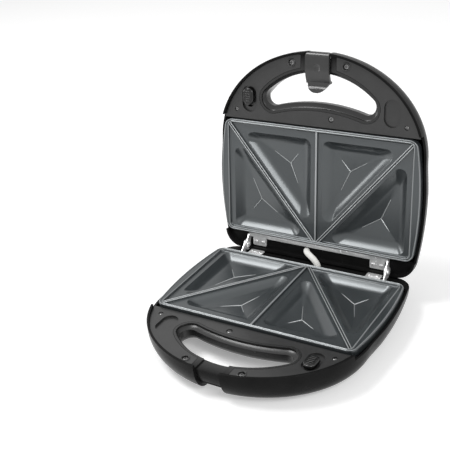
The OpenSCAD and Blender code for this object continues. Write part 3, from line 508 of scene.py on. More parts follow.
def side_hw(y):
    """Half the housing's width at y, behind the shoulders."""
    if y < SIDE_PEAK:
        return SHOULDER_HW + SIDE_BULGE * smooth((y + SHOULDER_Y) / (SIDE_PEAK + SHOULDER_Y))
    return SHOULDER_HW + SIDE_BULGE - (y - SIDE_PEAK) ** 2 / (2 * SIDE_R)


def mirrored(points):
    return [(-x, y) for x, y in reversed(points)]


def housing_outline(front=48, side=28, corner=10, rear=6):
    """Closed outline of a half at its parting plane, from the front, counter-clockwise."""
    corner_y = REAR_REACH - REAR_CORNER_R
    tilt = degrees(atan((corner_y - SIDE_PEAK) / SIDE_R))
    side_end = corner_y + REAR_CORNER_R * sin(radians(tilt))
    corner_x = side_hw(side_end) - REAR_CORNER_R * cos(radians(tilt))
    reach = HANDLE_REACH - SHOULDER_Y
    points = [(SHOULDER_HW * sin(pi / 2 * i / front),
               -SHOULDER_Y - reach * cos(pi / 2 * i / front)) for i in range(front + 1)]
    ys = [mix(-SHOULDER_Y, side_end, i / side) for i in range(1, side + 1)]
    points += [(side_hw(y), y) for y in ys]
    points += arc((corner_x, corner_y), REAR_CORNER_R, tilt, 90, corner)[1:]
    points += [(corner_x * (1 - i / rear), REAR_REACH) for i in range(1, rear + 1)]
    return points + mirrored(points)[1:-1]


HOUSING = housing_outline()
HOUSING_NORMALS = []
for (xa, ya), (xb, yb) in zip(HOUSING[-1:] + HOUSING[:-1], HOUSING[1:] + HOUSING[:1]):
    length = hypot(xb - xa, yb - ya)
    HOUSING_NORMALS.append(((yb - ya) / length, (xa - xb) / length))


def housing_ring(inset, share=0.0):
    """Housing outline set in by a distance, and by a share of its rounding."""
    ring = []
    for (x, y), (nx, ny) in zip(HOUSING, HOUSING_NORMALS):
        roll = (ROLL_FRONT if ny < 0 else ROLL_REAR) * ny * ny + ROLL_SIDE * nx * nx
        back = inset + (roll - inset) * share
        ring.append((x - nx * back, y - ny * back))
    return ring


def housing_solid(inset, top, edge=0.0, steps=14):
    """Solid of the housing, set in by inset, with a rounded rim if edge is given."""
    rings = []
    for k in range(steps, -1, -1):
        turn = pi / 2 * k / steps
        depth = SIDE_STRAIGHT + (SHELL_DEPTH - inset - SIDE_STRAIGHT) * sin(turn)
        rings.append(at_z(housing_ring(inset, 1 - cos(turn)), -depth))
    for k in range(5 if edge else 1):
        turn = pi / 2 * k / 4
        rings.append(at_z(housing_ring(inset + edge * (1 - cos(turn))),
                          top - edge * (1 - sin(turn))))
    return loft(rings)


def hole_ring(hw, front_y, rear_y, rear_r, end_r, grow=0.0):
    """Finger hole outline: a front arc, two end arcs and a rear arc that bulges forwards."""
    hw, end_r, rear_r = hw + grow, end_r + grow, rear_r - grow
    front_y, rear_y = front_y - grow, rear_y + grow
    end_x = hw - end_r
    end_y = rear_y + rear_r - sqrt((rear_r + end_r) ** 2 - end_x ** 2)
    rise = end_y - front_y
    front_r = (end_x ** 2 + rise ** 2 - end_r ** 2) / (2 * (rise - end_r))
    a1 = degrees(atan2(rise - front_r, end_x))
    a2 = degrees(atan2(rear_y + rear_r - end_y, -end_x))
    return (arc((0, front_y + front_r), front_r, -180 - a1, a1, 40)
            + arc((end_x, end_y), end_r, a1, a2, 16)[1:-1]
            + arc((0, rear_y + rear_r), rear_r, a2 - 180, -a2, 30)
            + arc((-end_x, end_y), end_r, 180 - a2, 180 - a1, 16)[1:-1])


HOLE_REAR = -PLATE_HD - 19.2
# Half width, front y, rear y, rear radius and end radius of the finger hole
HOLE_MOUTH = (SLIDER_X - 14.3, -HANDLE_REACH + 18, HOLE_REAR, 176.0, 14.0)
HOLE_THROAT = tuple(a + b for a, b in zip(HOLE_MOUTH, (-4.5, 4.5, -6.4, 6.4, -4.5)))
HOLE_FLARE = tuple(a + b for a, b in zip(HOLE_MOUTH, (10.35, 1, 30, 74, 10)))


def hole_between(share, first=HOLE_THROAT, last=HOLE_MOUTH, grow=0.0):
    return hole_ring(*[mix(a, b, share) for a, b in zip(first, last)], grow=grow)


def inside(point, outline):
    """Whether a point lies within a closed outline, seen from above."""
    x, y, _ = point
    odd = False
    for (xa, ya), (xb, yb) in zip(outline, outline[1:] + outline[:1]):
        if (ya > y) != (yb > y) and x < xa + (xb - xa) * (y - ya) / (yb - ya):
            odd = not odd
    return odd


def finger_hole(grow, edge=0.0):
    """Cutter of the finger hole; its wide scoop ends in a rounding of radius edge."""
    rings = []

    def flared(share, more, z):
        rings.append(at_z(hole_between(share, last=HOLE_FLARE, grow=grow + more), z))

    flared(1, edge, FACE_Z - 1)
    for k in range(4, -1, -1) if edge else ():
        turn = pi / 2 * k / 4
        flared(1, edge * (1 - cos(turn)), FACE_Z + edge * (1 - sin(turn)))
    for k in range(1, 12):
        u = 1 - k / 12
        flared(u * u, 0, mix(-14, FACE_Z + edge, u))
    for share, z in ((0, -14), (0, -8), (0.25, -7.6), (0.6, -6.9), (0.8, -6), (0.8, 1)):
        rings.append(at_z(hole_between(share, grow=grow), z))
    return loft(rings)


# ---- covers ----

def front_inset(depth):
    if depth < SIDE_STRAIGHT:
        return 0.0
    share = min(1.0, (depth - SIDE_STRAIGHT) / (SHELL_DEPTH - SIDE_STRAIGHT))
    return ROLL_FRONT * (1 - sqrt(1 - share ** 2))


def along_x(profile, x0, x1):
    """Prism of a (y, z) profile, counter-clockwise, between two places across."""
    return loft([[(x, y, z) for y, z in profile] for x in (x0, x1)])


def through_handle(profile):
    """Prism of an (x, z) profile that runs along y through the latch."""
    return weld(loft([[(x, y, z) for x, z in profile] for y in (-260, -60)]))


def channel_cutter():
    """What the latch channel takes away round the handle."""
    end = SHELL_DEPTH - CHANNEL_DEPTH
    far = -HANDLE_REACH - 30
    floor = []
    for i in range(19):
        turn = pi / 2 * i / 18
        y = -HANDLE_REACH + CHANNEL_DEPTH + (ROLL_FRONT - CHANNEL_DEPTH) * (1 - cos(turn))
        floor.append((y, -SIDE_STRAIGHT - (end - SIDE_STRAIGHT) * sin(turn)))
    back = HOLE_REAR - 18
    profile = ([(far, 2), (far, -60), (back, -60), (back, -end)] + floor[::-1]
               + [(-HANDLE_REACH + CHANNEL_DEPTH, 2)])
    return along_x(profile, -CHANNEL_HW, CHANNEL_HW)


def cover(half, rear_drop):
    top = -PLATE_GAP / 2
    body = housing_solid(0, top, edge=0.7)
    cavity = housing_solid(WALL, 1, steps=8)
    kept = [slab(-CORE_HW, CORE_HW, -FAR, CORE_Y, -40, 3),
            slab(-FAR, FAR, RAIL_Y - WALL / 2, RAIL_Y + WALL / 2, -40, -6),
            slab(-FAR, FAR, DECK_Y, FAR, DECK_Z - WALL, DECK_Z),
            slab(-FAR, FAR, DECK_Y, DECK_Y + WALL, -40, DECK_Z)]
    collar = combine(finger_hole(WALL), [slab(-FAR, FAR, -FAR, FAR, -PANEL_DROP, 5)])
    strips = combine(prism(housing_ring(WALL + 0.35), -PANEL_DROP, 3),
                     [slab(-CORE_HW - 1, CORE_HW + 1, -FAR, CORE_Y + 1, -10, 5)], "INTERSECT")
    combine(cavity, kept + [collar])
    combine(body, [cavity, strips,
                   slab(-FAR, FAR, RAIL_Y + WALL / 2, DECK_Y, -RIM_DROP, 3),
                   slab(-FAR, FAR, DECK_Y - 1, FAR, -rear_drop, 3),
                   finger_hole(0, edge=0.8),
                   channel_cutter(),
                   slab(-CHANNEL_HW, CHANNEL_HW, -FAR, HOLE_REAR - 9, -CHANNEL_INNER, 3)])
    # pocket that the latch's claw snaps into
    combine(body, [slab(-CHANNEL_HW, CHANNEL_HW, -FAR, arm_outer(CLAW_AT) + LATCH_T + CLAW_H + 0.6,
                        -CLAW_AT - CLAW_END - 0.8, 0.5 - CLAW_AT)])
    weld(body, 0.01)
    round_edges(body, 0.5)
    if half == "lid":
        # recess of the trim panel and openings of the lenses
        seats = [prism(trim_outline(0), FACE_Z - 1, FACE_Z + TRIM_T)]
        seats += [prism(lens_outline(x, side, 0), FACE_Z - 1, FACE_Z + WALL + 0.1)
                  for x, side in LENSES]
        combine(body, [weld(seat) for seat in seats])
    # Painted light: the collar round the finger hole gets the lighter, glossier copy of the cover's plastic
    near_hole = hole_between(1, grow=WALL + 1)
    paint(body, "painted_light", [inside(v.co, near_hole) for v in body.data.vertices])
    dress(body, half + "_cover", "shell", half)


# ---- inner panels ----

def obround(centre, width, length, steps=16):
    """Outline with round ends, longer along y."""
    x, y = centre
    half = (length - width) / 2
    return (arc((x, y + half), width / 2, 0, 180, steps)
            + arc((x, y - half), width / 2, 180, 360, steps))


def panel(half):
    """Flat panel round the finger hole, with its screw recesses and slider tracks."""
    edge = WALL + 0.35
    low, high = -PANEL_DROP - PANEL_T, -PANEL_DROP
    body = prism(housing_ring(edge), low, high)
    cuts = [slab(-FAR, FAR, PANEL_Y, FAR, -20, 5),
            slab(-CORE_HW - 0.35, CORE_HW + 0.35, -FAR, CORE_Y + 0.35, -20, 5),
            prism(hole_between(0.8, grow=edge), low - 1, 5)]
    for x, y, head in PANEL_SCREWS:
        cuts += [rod((x, y), SCREW_R + 0.2, low - 1, 5), rod((x, y), head + 0.5, SCREW_SEAT, 5)]
    for x in (-SLIDER_X, SLIDER_X):
        cuts.append(prism(obround((x, TRACK_Y), TRACK_W, TRACK_L), high - TRACK_SINK, 5))
    middle = SLIDER_X, SLIDER_Y + SLIDER_TRAVEL / 2
    cuts.append(prism(obround(middle, BUTTON_W - 3.4, BUTTON_L + 0.8), low - 1, 5))
    combine(body, cuts)
    round_edges(weld(body, 0.01), 0.6, steps=3)
    rings = []
    for x, y, head in PANEL_SCREWS[:2]:
        profile = [(head + 0.5, -0.3), (head + 0.5, 0.5), (head + 0.8, 0.8), (head + 1.5, 0.8),
                   (head + 1.9, 0.4), (head + 1.9, -0.3)]
        rings.append(turned(profile, (x, y, high)))
    dress(join([body] + rings), half + "_panel", "moulding", half)


# ---- turned pieces and screws ----

def turned(profile, at=(0, 0, 0), steps=40):
    """Closed (radius, height) profile, turned round the vertical through at."""
    rings = []
    for i in range(steps + 1):
        turn = 2 * pi * i / steps
        rings.append([(at[0] + r * cos(turn), at[1] + r * sin(turn), at[2] + z)
                      for r, z in profile])
    return weld(loft(rings, cap_first=False, cap_last=False))


def screw(x, y, seat, head, length, height=1.3):
    """Cross-recess screw whose head rests at the height seat."""
    profile = [(0, -length), (SCREW_R - 0.3, -length), (SCREW_R, -length + 0.4), (SCREW_R, 0),
               (head, 0), (head, height * 0.35), (head * 0.93, height * 0.65),
               (head * 0.72, height * 0.9), (head * 0.4, height), (0, height * 1.02)]
    body = turned(profile, (x, y, seat), 32)
    arm, slim, top, deep = head * 0.62, head * 0.13, seat + height + 0.5, seat + height * 0.25
    cuts = []
    for a, b, fx, fy in ((arm, slim, 0.45, 1), (slim, arm, 1, 0.45)):
        wide = [(x - a, y - b), (x + a, y - b), (x + a, y + b), (x - a, y + b)]
        narrow = [(x + (px - x) * fx, y + (py - y) * fy) for px, py in wide]
        cuts.append(loft([at_z(narrow, deep), at_z(wide, top)]))
    return combine(body, cuts)


def screws(node, half, spots, seat, length):
    made = [screw(x, y, seat, head, length) for x, y, head in spots]
    dress(join(made), node, "turned", half, angle=28)


# ---- cooking plates ----

def plate_outline(inset, bulge, corner=10, side=14):
    """Plate outline set in by inset: a rounded rectangle whose sides bulge."""
    r = max(0.8, PLATE_CORNER_R - inset)
    x, y = PLATE_HW - inset - r, PLATE_HD - inset - r
    right = (arc((x, -y), r, -90, 0, corner)
             + [(x + r, mix(-y, y, i / side)) for i in range(1, side)]
             + arc((x, y), r, 0, 90, corner))
    points = right + mirrored(right)
    return [(px * (1 + bulge / PLATE_HW * (1 - (py / PLATE_HD) ** 2)), py) for px, py in points]


def pocket_cells():
    """Corners and margins of the four triangular pockets, counter-clockwise."""
    front = [(0, -PLATE_HD), (PLATE_HW, -PLATE_HD), (0, PLATE_HD)]
    rear = [(PLATE_HW, -PLATE_HD), (PLATE_HW, PLATE_HD), (0, PLATE_HD)]
    cells = [(front, (14, 6, 8)), (rear, (11, 6.5, 6))]
    for corners, margins in list(cells):
        cells.append((mirrored(corners), (margins[1], margins[0], margins[2])))
    return cells


def line_in(a, b, distance):
    """A point on the line from a to b, moved in by distance, and its direction."""
    length = hypot(b[0] - a[0], b[1] - a[1])
    t = ((b[0] - a[0]) / length, (b[1] - a[1]) / length)
    return (a[0] - t[1] * distance, a[1] + t[0] * distance), t


def meet(first, second):
    (ax, ay), (ux, uy) = first
    (bx, by), (vx, vy) = second
    f = ((bx - ax) * vy - (by - ay) * vx) / (ux * vy - uy * vx)
    return ax + ux * f, ay + uy * f


def corner_points(cell, distance):
    corners, margins = cell
    out = []
    for k in range(3):
        before = line_in(corners[k - 1], corners[k], margins[k - 1] + distance)
        after = line_in(corners[k], corners[(k + 1) % 3], margins[k] + distance)
        out.append((meet(before, after), before[1], after[1]))
    return out


def pocket_ring(cell, inset, steps=12):
    """Rounded triangle, set in from its cell's margins."""
    radius = max(2.2, POCKET_R - inset * 0.5)
    ring = []
    for centre, before, after in corner_points(cell, inset + radius):
        a1 = degrees(atan2(-before[0], before[1]))
        a2 = degrees(atan2(-after[0], after[1]))
        ring += arc(centre, radius, a1, a2 + 360 if a2 < a1 else a2, steps)
    return ring


# Pocket wall, one smooth curve from mouth to foot: (distance in, depth below the field)
POCKET_PROFILE = [(-1.4 + 11.8 * (i / 16) ** 1.4, 6.72 * smooth((i / 16) ** 0.88))
                  for i in range(17)]


def pocket(cell):
    """Skin of one pocket, down to its shallow three-sided floor, and the floor's creases."""
    low = -FIELD_DROP - POCKET_DEPTH - CREASE_DEPTH
    rings = [at_z(pocket_ring(cell, d), -FIELD_DROP - z) for d, z in POCKET_PROFILE]
    tips = [tip for tip, _, _ in corner_points(cell, POCKET_SLOPE)]
    centre = tuple(sum(tip[i] for tip in tips) / 3 for i in range(2))
    edge = rings[-1]
    for share in (0.2, 0.45, 0.7, 0.88, 0.97):
        rings.append([(mix(x, centre[0], share), mix(y, centre[1], share), mix(z, low, share))
                      for x, y, z in edge])
    skin = loft(rings[::-1], cap_last=False)
    creases = []
    for tip, _, _ in corner_points(cell, POCKET_PROFILE[-1][0] + 1.2):
        end = (mix(centre[0], tip[0], CREASE_SHARE), mix(centre[1], tip[1], CREASE_SHARE),
               mix(low, -FIELD_DROP - POCKET_PROFILE[-1][1], CREASE_SHARE))
        creases.append(crease((centre[0], centre[1], low + 0.06), end))
    return skin, creases


def crease(start, end, width=1.4, height=0.7, steps=10):
    """Slim ridge that fades out towards its end."""
    run = Vector(end) - Vector(start)
    across = Vector((-run.y, run.x, 0)).normalized() * width / 2
    rings = []
    for i in range(steps + 1):
        f = i / steps
        fade = sqrt(1 - f ** 1.5) if f < 1 else 0.02
        at = Vector(start) + run * f
        up = Vector((0, 0, height * fade))
        side = across * (0.35 + 0.65 * fade)
        low = Vector((0, 0, -0.3))
        rings.append([tuple(at - side + low), tuple(at - side * 0.6 + up * 0.65), tuple(at + up),
                      tuple(at + side * 0.6 + up * 0.65), tuple(at + side + low)])
    return weld(loft(rings))


def rib(start, end, width, top, foot):
    """Straight rib with a rounded top, between two points."""
    run = Vector((end[0] - start[0], end[1] - start[1], 0))
    across = Vector((-run.y, run.x, 0)).normalized()
    right = [(0.2, top - 0.02), (0.5, top - 0.17), (0.78, top - 0.55), (0.93, top - 1.1), (1, foot)]
    shape = mirrored(right) + right
    rings = []
    for x, y in (start, end):
        rings.append([(x + across.x * s * width, y + across.y * s * width, z) for s, z in shape])
    return weld(loft(rings))


def plate(half):
    """Cast plate: beaded rim, flat field, four pockets and the ribs that cut the sandwiches."""
    bead = [(0.0, -PLATE_SKIRT), (0.0, -1.3), (0.08, -0.75), (0.3, -0.32), (0.7, -0.06), (1.0, 0.0),
            (1.35, -0.1), (1.7, -0.45), (1.95, -0.7)]
    lip = [(-1.0, -0.7), (-0.6, -0.42), (-0.25, -0.1), (0.1, 0.0), (0.45, -0.12), (0.75, -0.5),
           (1.15, -1.5), (1.45, -2.1), (1.8, -2.42), (2.3, -FIELD_DROP)]
    rings = ([at_z(plate_outline(d, PLATE_BULGE), z) for d, z in bead]
             + [at_z(plate_outline(RIM_W + d, 0), z) for d, z in lip])
    skins = [loft(rings, cap_first=False, cap_last=False)]
    outlines = [[(x, y) for x, y, _ in rings[-1]]]
    creases = []
    for cell in pocket_cells():
        skin, lines = pocket(cell)
        skins.append(skin)
        creases += lines
        outlines.append(pocket_ring(cell, POCKET_PROFILE[0][0]))
    skins.append(filled(outlines, -FIELD_DROP, "FRONT"))
    body = weld(join(skins))
    shell = body.modifiers.new("shell", "SOLIDIFY")
    shell.thickness = PLATE_T * 0.6
    shell.offset = -1
    apply_modifiers(body)
    foot, top = -FIELD_DROP - 0.3, -0.5
    ribs = [rib((0, -PLATE_HD + 3), (0, PLATE_HD - 3), 1.4, top, foot)]
    run = Vector((-PLATE_HW, 2 * PLATE_HD))
    along = run.normalized()
    across = Vector((-along.y, along.x))
    for side in (-1, 1):
        for s in (-1, 1):
            corner = Vector((PLATE_HW, -PLATE_HD)) + across * s * 1.2
            a, b = corner + along * 6.5, corner + along * (run.length - 3.5)
            ribs.append(rib((side * a.x, a.y), (side * b.x, b.y), 0.85, top, foot))
    # Painted highlight: the rim's top, the crease tops and the rib tops get a share of light metallic colour
    crest_highlight = [0.5 * (v.co.z > -0.2) for v in body.data.vertices]
    for obj in creases:
        crest_highlight += [0.9 * min(1, len(obj.data.vertices) / 5 - i // 5) * (i % 5 in (1, 2, 3))
                 for i in range(len(obj.data.vertices))]
    for obj in ribs:
        crest_highlight += [0.8 * (v.co.z > top - 0.3) for v in obj.data.vertices]
    lug = slab(SLIDER_X - 5, SLIDER_X + 5, -PLATE_HD + 1, -PLATE_HD + 4,
               -PLATE_SKIRT, -PLATE_SKIRT + 1.5)
    tongues = [slab(s * 45 - 7, s * 45 + 7, PLATE_HD - 1, STRIP_Y + 3, DECK_Z + 0.27, BAR_Z + 0.03)
               for s in (-1, 1)]
    whole = join([body] + creases + ribs + [lug] + tongues)
    crest_highlight += [0.0] * (len(whole.data.vertices) - len(crest_highlight))
    paint(whole, "crest_highlight", crest_highlight)
    whole.data.transform(Matrix.Translation((0, 0, -PLATE_GAP / 2)))
    dress(whole, half + "_plate", "casting", half, angle=50)


# ---- latch ----

def arm_outer(depth):
    return -HANDLE_REACH + 0.4 + front_inset(max(0.0, depth))


def latch():
    """Latch arm with its barrel, claw, half-round thumb tab and finger dimple, drawn as latched."""
    claw, end, reach, thick = CLAW_AT, CLAW_AT + CLAW_END, 8.0, LATCH_T

    def face(low, inwards, steps=20):
        depths = [mix(PIN_Z, low, i / steps) for i in range(steps + 1)]
        return [(arm_outer(depth) + inwards, depth) for depth in depths]

    at = arm_outer(end)
    hook = arm_outer(claw) + thick + CLAW_H
    tip = [(at - 2.2, end + 1.0), (at - 4.0, end + 2.2), (at - 5.4, end + 4.2),
           (at - 6.4, end + reach), (at - 4.2, end + reach), (at - 3.2, end + 5.2),
           (at - 1.6, end + 3.4), (at + thick - 0.5, end), (hook, claw + 1.2), (hook, claw)]
    profile = face(claw + 1, 0) + tip + face(claw, thick)[::-1]
    body = weld(along_x(profile, -LATCH_W / 2, LATCH_W / 2))
    barrel = arc((PIN_Y, PIN_Z), BARREL_R, 0, 360, 40)[:-1]
    combine(body, [along_x(barrel, -LATCH_W / 2, LATCH_W / 2)], "UNION")
    # the thumb tab is half round
    half_round = arc((0, end - 4), reach + 4.2, 14, 166, 36)
    frame_out = [(-LATCH_W, end), (-LATCH_W, end + LATCH_W),
                 (LATCH_W, end + LATCH_W), (LATCH_W, end)]
    cutter = through_handle(half_round + frame_out)
    dimple = turned(arc((0, 0), 9, -90, 90, 24), (0.5, arm_outer(6) - 7.8, 6), 48)
    corners = [rounding(s, PIN_Z - BARREL_R, 4.5) for s in (-1, 1)]
    combine(body, [cutter, dimple] + corners)
    round_edges(weld(body, 0.01), 0.7, angle=30, steps=3)
    dress(body, "latch", "clip", "latch")
    pin_hw = CHANNEL_HW + 3.5
    shape = [(-pin_hw, 1.1), (0.4 - pin_hw, 1.5), (pin_hw - 0.4, 1.5), (pin_hw, 1.1)]
    dress(axle((PIN_Y, PIN_Z), shape, 24), "latch_pin", "turned", "lid")


def rounding(side, low, radius):
    """Cutter that rounds one shoulder of the latch."""
    hw = LATCH_W / 2
    curve = arc((hw - radius, low + radius), radius, -90, 0, 12)
    ring = [(hw + 2, low - 2)] + curve[::-1] + [(hw - radius, low - 2)]
    return through_handle([(side * x, z) for x, z in ring])


# ---- release sliders ----

def slider(half):
    """Thumb button with a rounded rim, raised middle and grip ribs, over its stem and hook bar."""
    x, y = SLIDER_X, SLIDER_Y
    low, top = -PANEL_DROP - 1.3, -PANEL_DROP + BUTTON_H
    button = flat_solid(obround((x, y), BUTTON_W, BUTTON_L), low, top - 0.6, 1.5, 6)
    plinth = flat_solid(obround((x, y), BUTTON_W - 3.6, BUTTON_L - 3.6),
                        top - 1.4, top - 0.25, 0.35)
    ribs = []
    for i in (-2, -1, 0, 1, 2):
        upright = obround((y + i * 2.6, x), 1.1, 7.2 - abs(i) * 0.7, steps=10)
        ribs.append(flat_solid([(px, py) for py, px in upright], top - 0.6, top, 0.35))
    stem = prism(obround((x, y), BUTTON_W - 4, BUTTON_L - 5), -6.9, low + 0.3)
    flange_z = -PANEL_DROP - PANEL_T - 0.3
    bar_low = -PLATE_SKIRT - 3
    parts = [(-9, 9, -7.5, 7.5, flange_z - 1.7, flange_z), (-4, 4, -4, 4, bar_low, flange_z - 0.8),
             (-4, 4, -4, HOOK_Y + 2 - y, bar_low, bar_low + 2),
             (-4, 4, HOOK_Y - y, HOOK_Y + 2 - y, bar_low, -PLATE_SKIRT + 3),
             (-4, 4, HOOK_Y - 1.8 - y, HOOK_Y + 2 - y, -PLATE_SKIRT + 2, -PLATE_SKIRT + 3)]
    blocks = [slab(x + a, x + b, y + c, y + d, e, f) for a, b, c, d, e, f in parts]
    body = join([button, plinth, stem] + ribs + blocks)
    dress(body, half + "_slider", "button", half + "_slider")


# ---- hinges ----

def hinge_bar(half, ear_x):
    """Bright strip behind the plate with a knurled top, screw tabs and ears."""
    z0, z1 = BAR_Z, BAR_Z + STEEL_T
    parts = [slab(-ear_x - STEEL_T, ear_x + STEEL_T, STRIP_Y, STRIP_Y + STRIP_W, z0, z1)]
    for s in (-1, 1):
        tab = tab_outline(s * TAB_X, STRIP_Y + 0.1, HINGE_Y + 1)
        ear = arc((HINGE_Y, 0), EAR_R, 0, 360, 45)[:-1]
        web = [(STRIP_Y, BAR_Z), (STRIP_Y + STRIP_W, BAR_Z), (HINGE_Y + EAR_R * 0.6, -EAR_R * 0.8),
               (HINGE_Y - EAR_R * 0.5, EAR_R * 0.86), (STRIP_Y, BAR_Z + 3)]
        x0 = ear_x if s > 0 else -ear_x - STEEL_T
        parts += [weld(along_x(profile, x0, x0 + STEEL_T)) for profile in (ear, web)]
        parts.append(prism(tab, z0 + 0.01, z1 + 0.02))
    body = combine(parts[0], parts[1:], "UNION")
    cuts = [rod((x, y), SCREW_R + 0.3, z0 - 1, z1 + 1) for x, y, _ in HINGE_SCREWS]
    cuts.append(along_x(arc((HINGE_Y, 0), RIVET_R + 0.05, 0, 360, 24)[:-1], -FAR, FAR))
    combine(body, cuts)
    round_edges(weld(body, 0.01), 0.25)
    knurl = knurled_strip(TAB_X - TAB_L / 2 - 1, STRIP_Y + 0.6, STRIP_Y + STRIP_W - 0.6, z1)
    dress(join([body, knurl]), half + "_hinge_bar", "pressed", half)


def tab_outline(at, y0, y1, r=1.6, steps=8):
    """Rounded rectangle of a screw tab, its middle at x = at."""
    x = TAB_L / 2 - r
    right = arc((x, y0 + r), r, -90, 0, steps) + arc((x, y1 - r), r, 0, 90, steps)
    return [(px + at, py) for px, py in right + mirrored(right)]


def knurled_strip(hw, y0, y1, z, pitch=1.6, height=0.28, lean=1.4):
    """Slanted grooves pressed across the strip, from x = -hw to x = hw."""
    verts, faces = [], []
    columns, rows = int(2 * hw / pitch) * 6, 6
    for i in range(columns + 1):
        x = mix(-hw, hw, i / columns)
        for k in range(rows + 1):
            y = mix(y0, y1, k / rows)
            edge = min(1.0, (hw - abs(x)) / 1.5, k, rows - k)
            wave = 0.5 + 0.5 * cos(2 * pi * (x - lean * (y - y0)) / pitch)
            verts.append((x, y, z - 0.02 + height * wave * edge))
    for i in range(columns):
        for k in range(rows):
            a = i * (rows + 1) + k
            faces.append((a, a + rows + 1, a + rows + 2, a + 1))
    return mesh_object(verts, faces)


def rivets():
    """Domed rivets through both pairs of ears."""
    low, high = LID_EAR_X - 0.15, BASE_EAR_X + STEEL_T
    dome = [(1.6, 0.01), (1.5, 1.6), (1.1, 2.7), (0.5, 3.4), (0, 3.6), (0, RIVET_R)]
    shape = [(low - x, r) for x, r in dome] + [(high + x, r) for x, r in dome[::-1]]
    pair = [axle((HINGE_Y, 0), [(s * x, r) for x, r in shape], 32) for s in (-1, 1)]
    dress(join(pair), "hinge_rivets", "domed", "base")


# ---- sleeve, lenses, trim, feet and inlet ----

def bezier(points, t):
    a, b, c, d = points
    return a * (1 - t) ** 3 + b * 3 * t * (1 - t) ** 2 + c * 3 * t * t * (1 - t) + d * t ** 3


def lid_to_base(point):
    """A point of the lid half's own frame, in the base half's frame, with the lid open."""
    return BASE.inverted() @ LID @ Vector(point)


def sleeve():
    """Braided glass-fibre sleeve from the base to the lid, behind the plates."""
    deck_low = DECK_Z - WALL
    start = Vector((6, HINGE_Y - 3.9, deck_low))
    end = lid_to_base((13, HINGE_Y - 3.9, deck_low))
    out = lid_to_base((13, HINGE_Y - 3.9, DECK_Z + 7.5)) - end
    path = (start, start + Vector((0, 0, 12.5)), end + out * 1.25, end)
    rings, count, around = [], 150, 72
    for i in range(count + 1):
        t = i / count
        at = bezier(path, t)
        way = (bezier(path, min(1, t + 0.01)) - bezier(path, max(0, t - 0.01))).normalized()
        u = Vector((1, 0, 0)).cross(way).normalized()
        v = way.cross(u)
        ring = []
        for k in range(around):
            angle = 2 * pi * k / around
            weave = sin(6 * angle + 60 * t) * sin(6 * angle - 60 * t)
            r = SLEEVE_R - 0.25 + 0.22 * weave
            ring.append(tuple(at + (u * cos(angle) + v * sin(angle)) * r))
        rings.append(ring)
    body = weld(loft(rings))
    body.data.transform(BASE)
    body.name = body.data.name = "wire_sleeve_braid"
    finish_mesh(body, 60)
    body.data.materials.append(materials["glass_fibre_sleeve"])
    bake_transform(body)
    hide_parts("wire_sleeve")


def lens_outline(at, side, inset):
    """Lens outline at x = at: flat at one end and round at the other, towards side."""
    w, l = LENS_W - 2 * inset, LENS_L - 2 * inset
    r = 1.2
    points = (arc((l / 2 - w / 2, 0), w / 2, -90, 90, 24)
              + arc((-l / 2 + r, w / 2 - r), r, 90, 180, 6)
              + arc((-l / 2 + r, -w / 2 + r), r, 180, 270, 6))
    return [(x + at, y + LENS_Y) for x, y in (points if side > 0 else mirrored(points))]


def lens(node, x, side):
    outer, crown, flange = (lens_outline(x, side, inset) for inset in (0.15, 2.2, -1.2))
    body = join([flat_solid(outer, FACE_Z - 0.55, FACE_Z + WALL, 0.5, 5),
                 flat_solid(crown, FACE_Z - 0.8, FACE_Z + 0.5, 0.24, 4),
                 flat_solid(flange, FACE_Z + WALL, FACE_Z + WALL + 1, 0.2, 2)])
    dress(body, node, "moulded", "lid")


def trim_outline(inset):
    """Trim outline: straight rear edge, bulging sides and a curved front edge."""
    rear, radius, centre = TRIM_Y - inset, TRIM_R + inset, -TRIM_MID - TRIM_R
    side = [(min(TRIM_HW - inset, side_hw(y) - TRIM_SIDE + 1.5 - inset), y)
            for y in (mix(rear - 2.5, -SHOULDER_Y - 6, i / 60) for i in range(61))]
    side = [(x, y) for x, y in side if hypot(x, y - centre) > radius]
    corner = arc((side[0][0] - 2.5, rear - 2.5), 2.5, 90, 0, 8)[:-1]
    last_x = sqrt(radius ** 2 - (side[-1][1] - centre) ** 2)
    front = [(x, centre + sqrt(radius ** 2 - x * x))
             for x in (last_x * (1 - i / 40) for i in range(41))]
    right = (corner + side + [p for p in front if p[0] < side[-1][0] - 0.5])[::-1]
    return right + mirrored(right)[:-1]


def trim():
    body = flat_solid(trim_outline(0.25), FACE_Z, FACE_Z + TRIM_T, 0.2)
    dress(body, "trim_panel", "brushed", "lid", angle=10)


def feet():
    profile = [(0, 2.6), (2.4, 2.6), (2.4, 0), (6.4, 0), (6.9, -0.5), (6.9, -1.6), (6.2, -2.9),
               (5.4, -3.4), (4.6, -3.5), (3.4, -3.2), (2.6, -2.6), (0, -2.5)]
    made = [turned(profile, (x, y, FACE_Z), 48)
            for x in (-FOOT_X, FOOT_X) for y in (-PLATE_HD - 7, PLATE_HD - 3)]
    dress(join(made), "feet", "rubber", "base")


def gland():
    profile = [(3.2, 0.0), (4.4, 0.0), (4.4, -5.4), (5.6, -5.5), (6.0, -5.9), (6.0, -6.6),
               (5.5, -7.1), (4.2, -7.4), (3.6, -7.4), (3.2, -7.0)]
    body = turned(profile, steps=48)
    body.data.transform(Matrix.Translation((GLAND_X, REAR_REACH, GLAND_Z))
                        @ Matrix.Rotation(pi / 2, 4, "X"))
    dress(body, "cord_gland", "moulded", "base")


# ---- stage ----

# The floor's own light where it is seen, and the light that the surroundings give
FLOOR_LIFT, WORLD_LIGHT = 0.3, 0.42
# Soft boxes: name, place, what they point at, size in metres, power in watts
LIGHTS = [("key", (-0.9, -0.39, 1.85), (0, 0, 0.08), 0.8, 23.0),
          ("front", (1.04, -0.83, 1.27), (0, 0.05, 0.12), 0.6, 10.0),
          ("left", (-1.45, -0.36, 0.45), (0.04, 0.1, 0.15), 0.45, 4.0),
          ("right", (1.3, -0.1, 0.9), (0, 0, 0.08), 0.5, 3.0)]
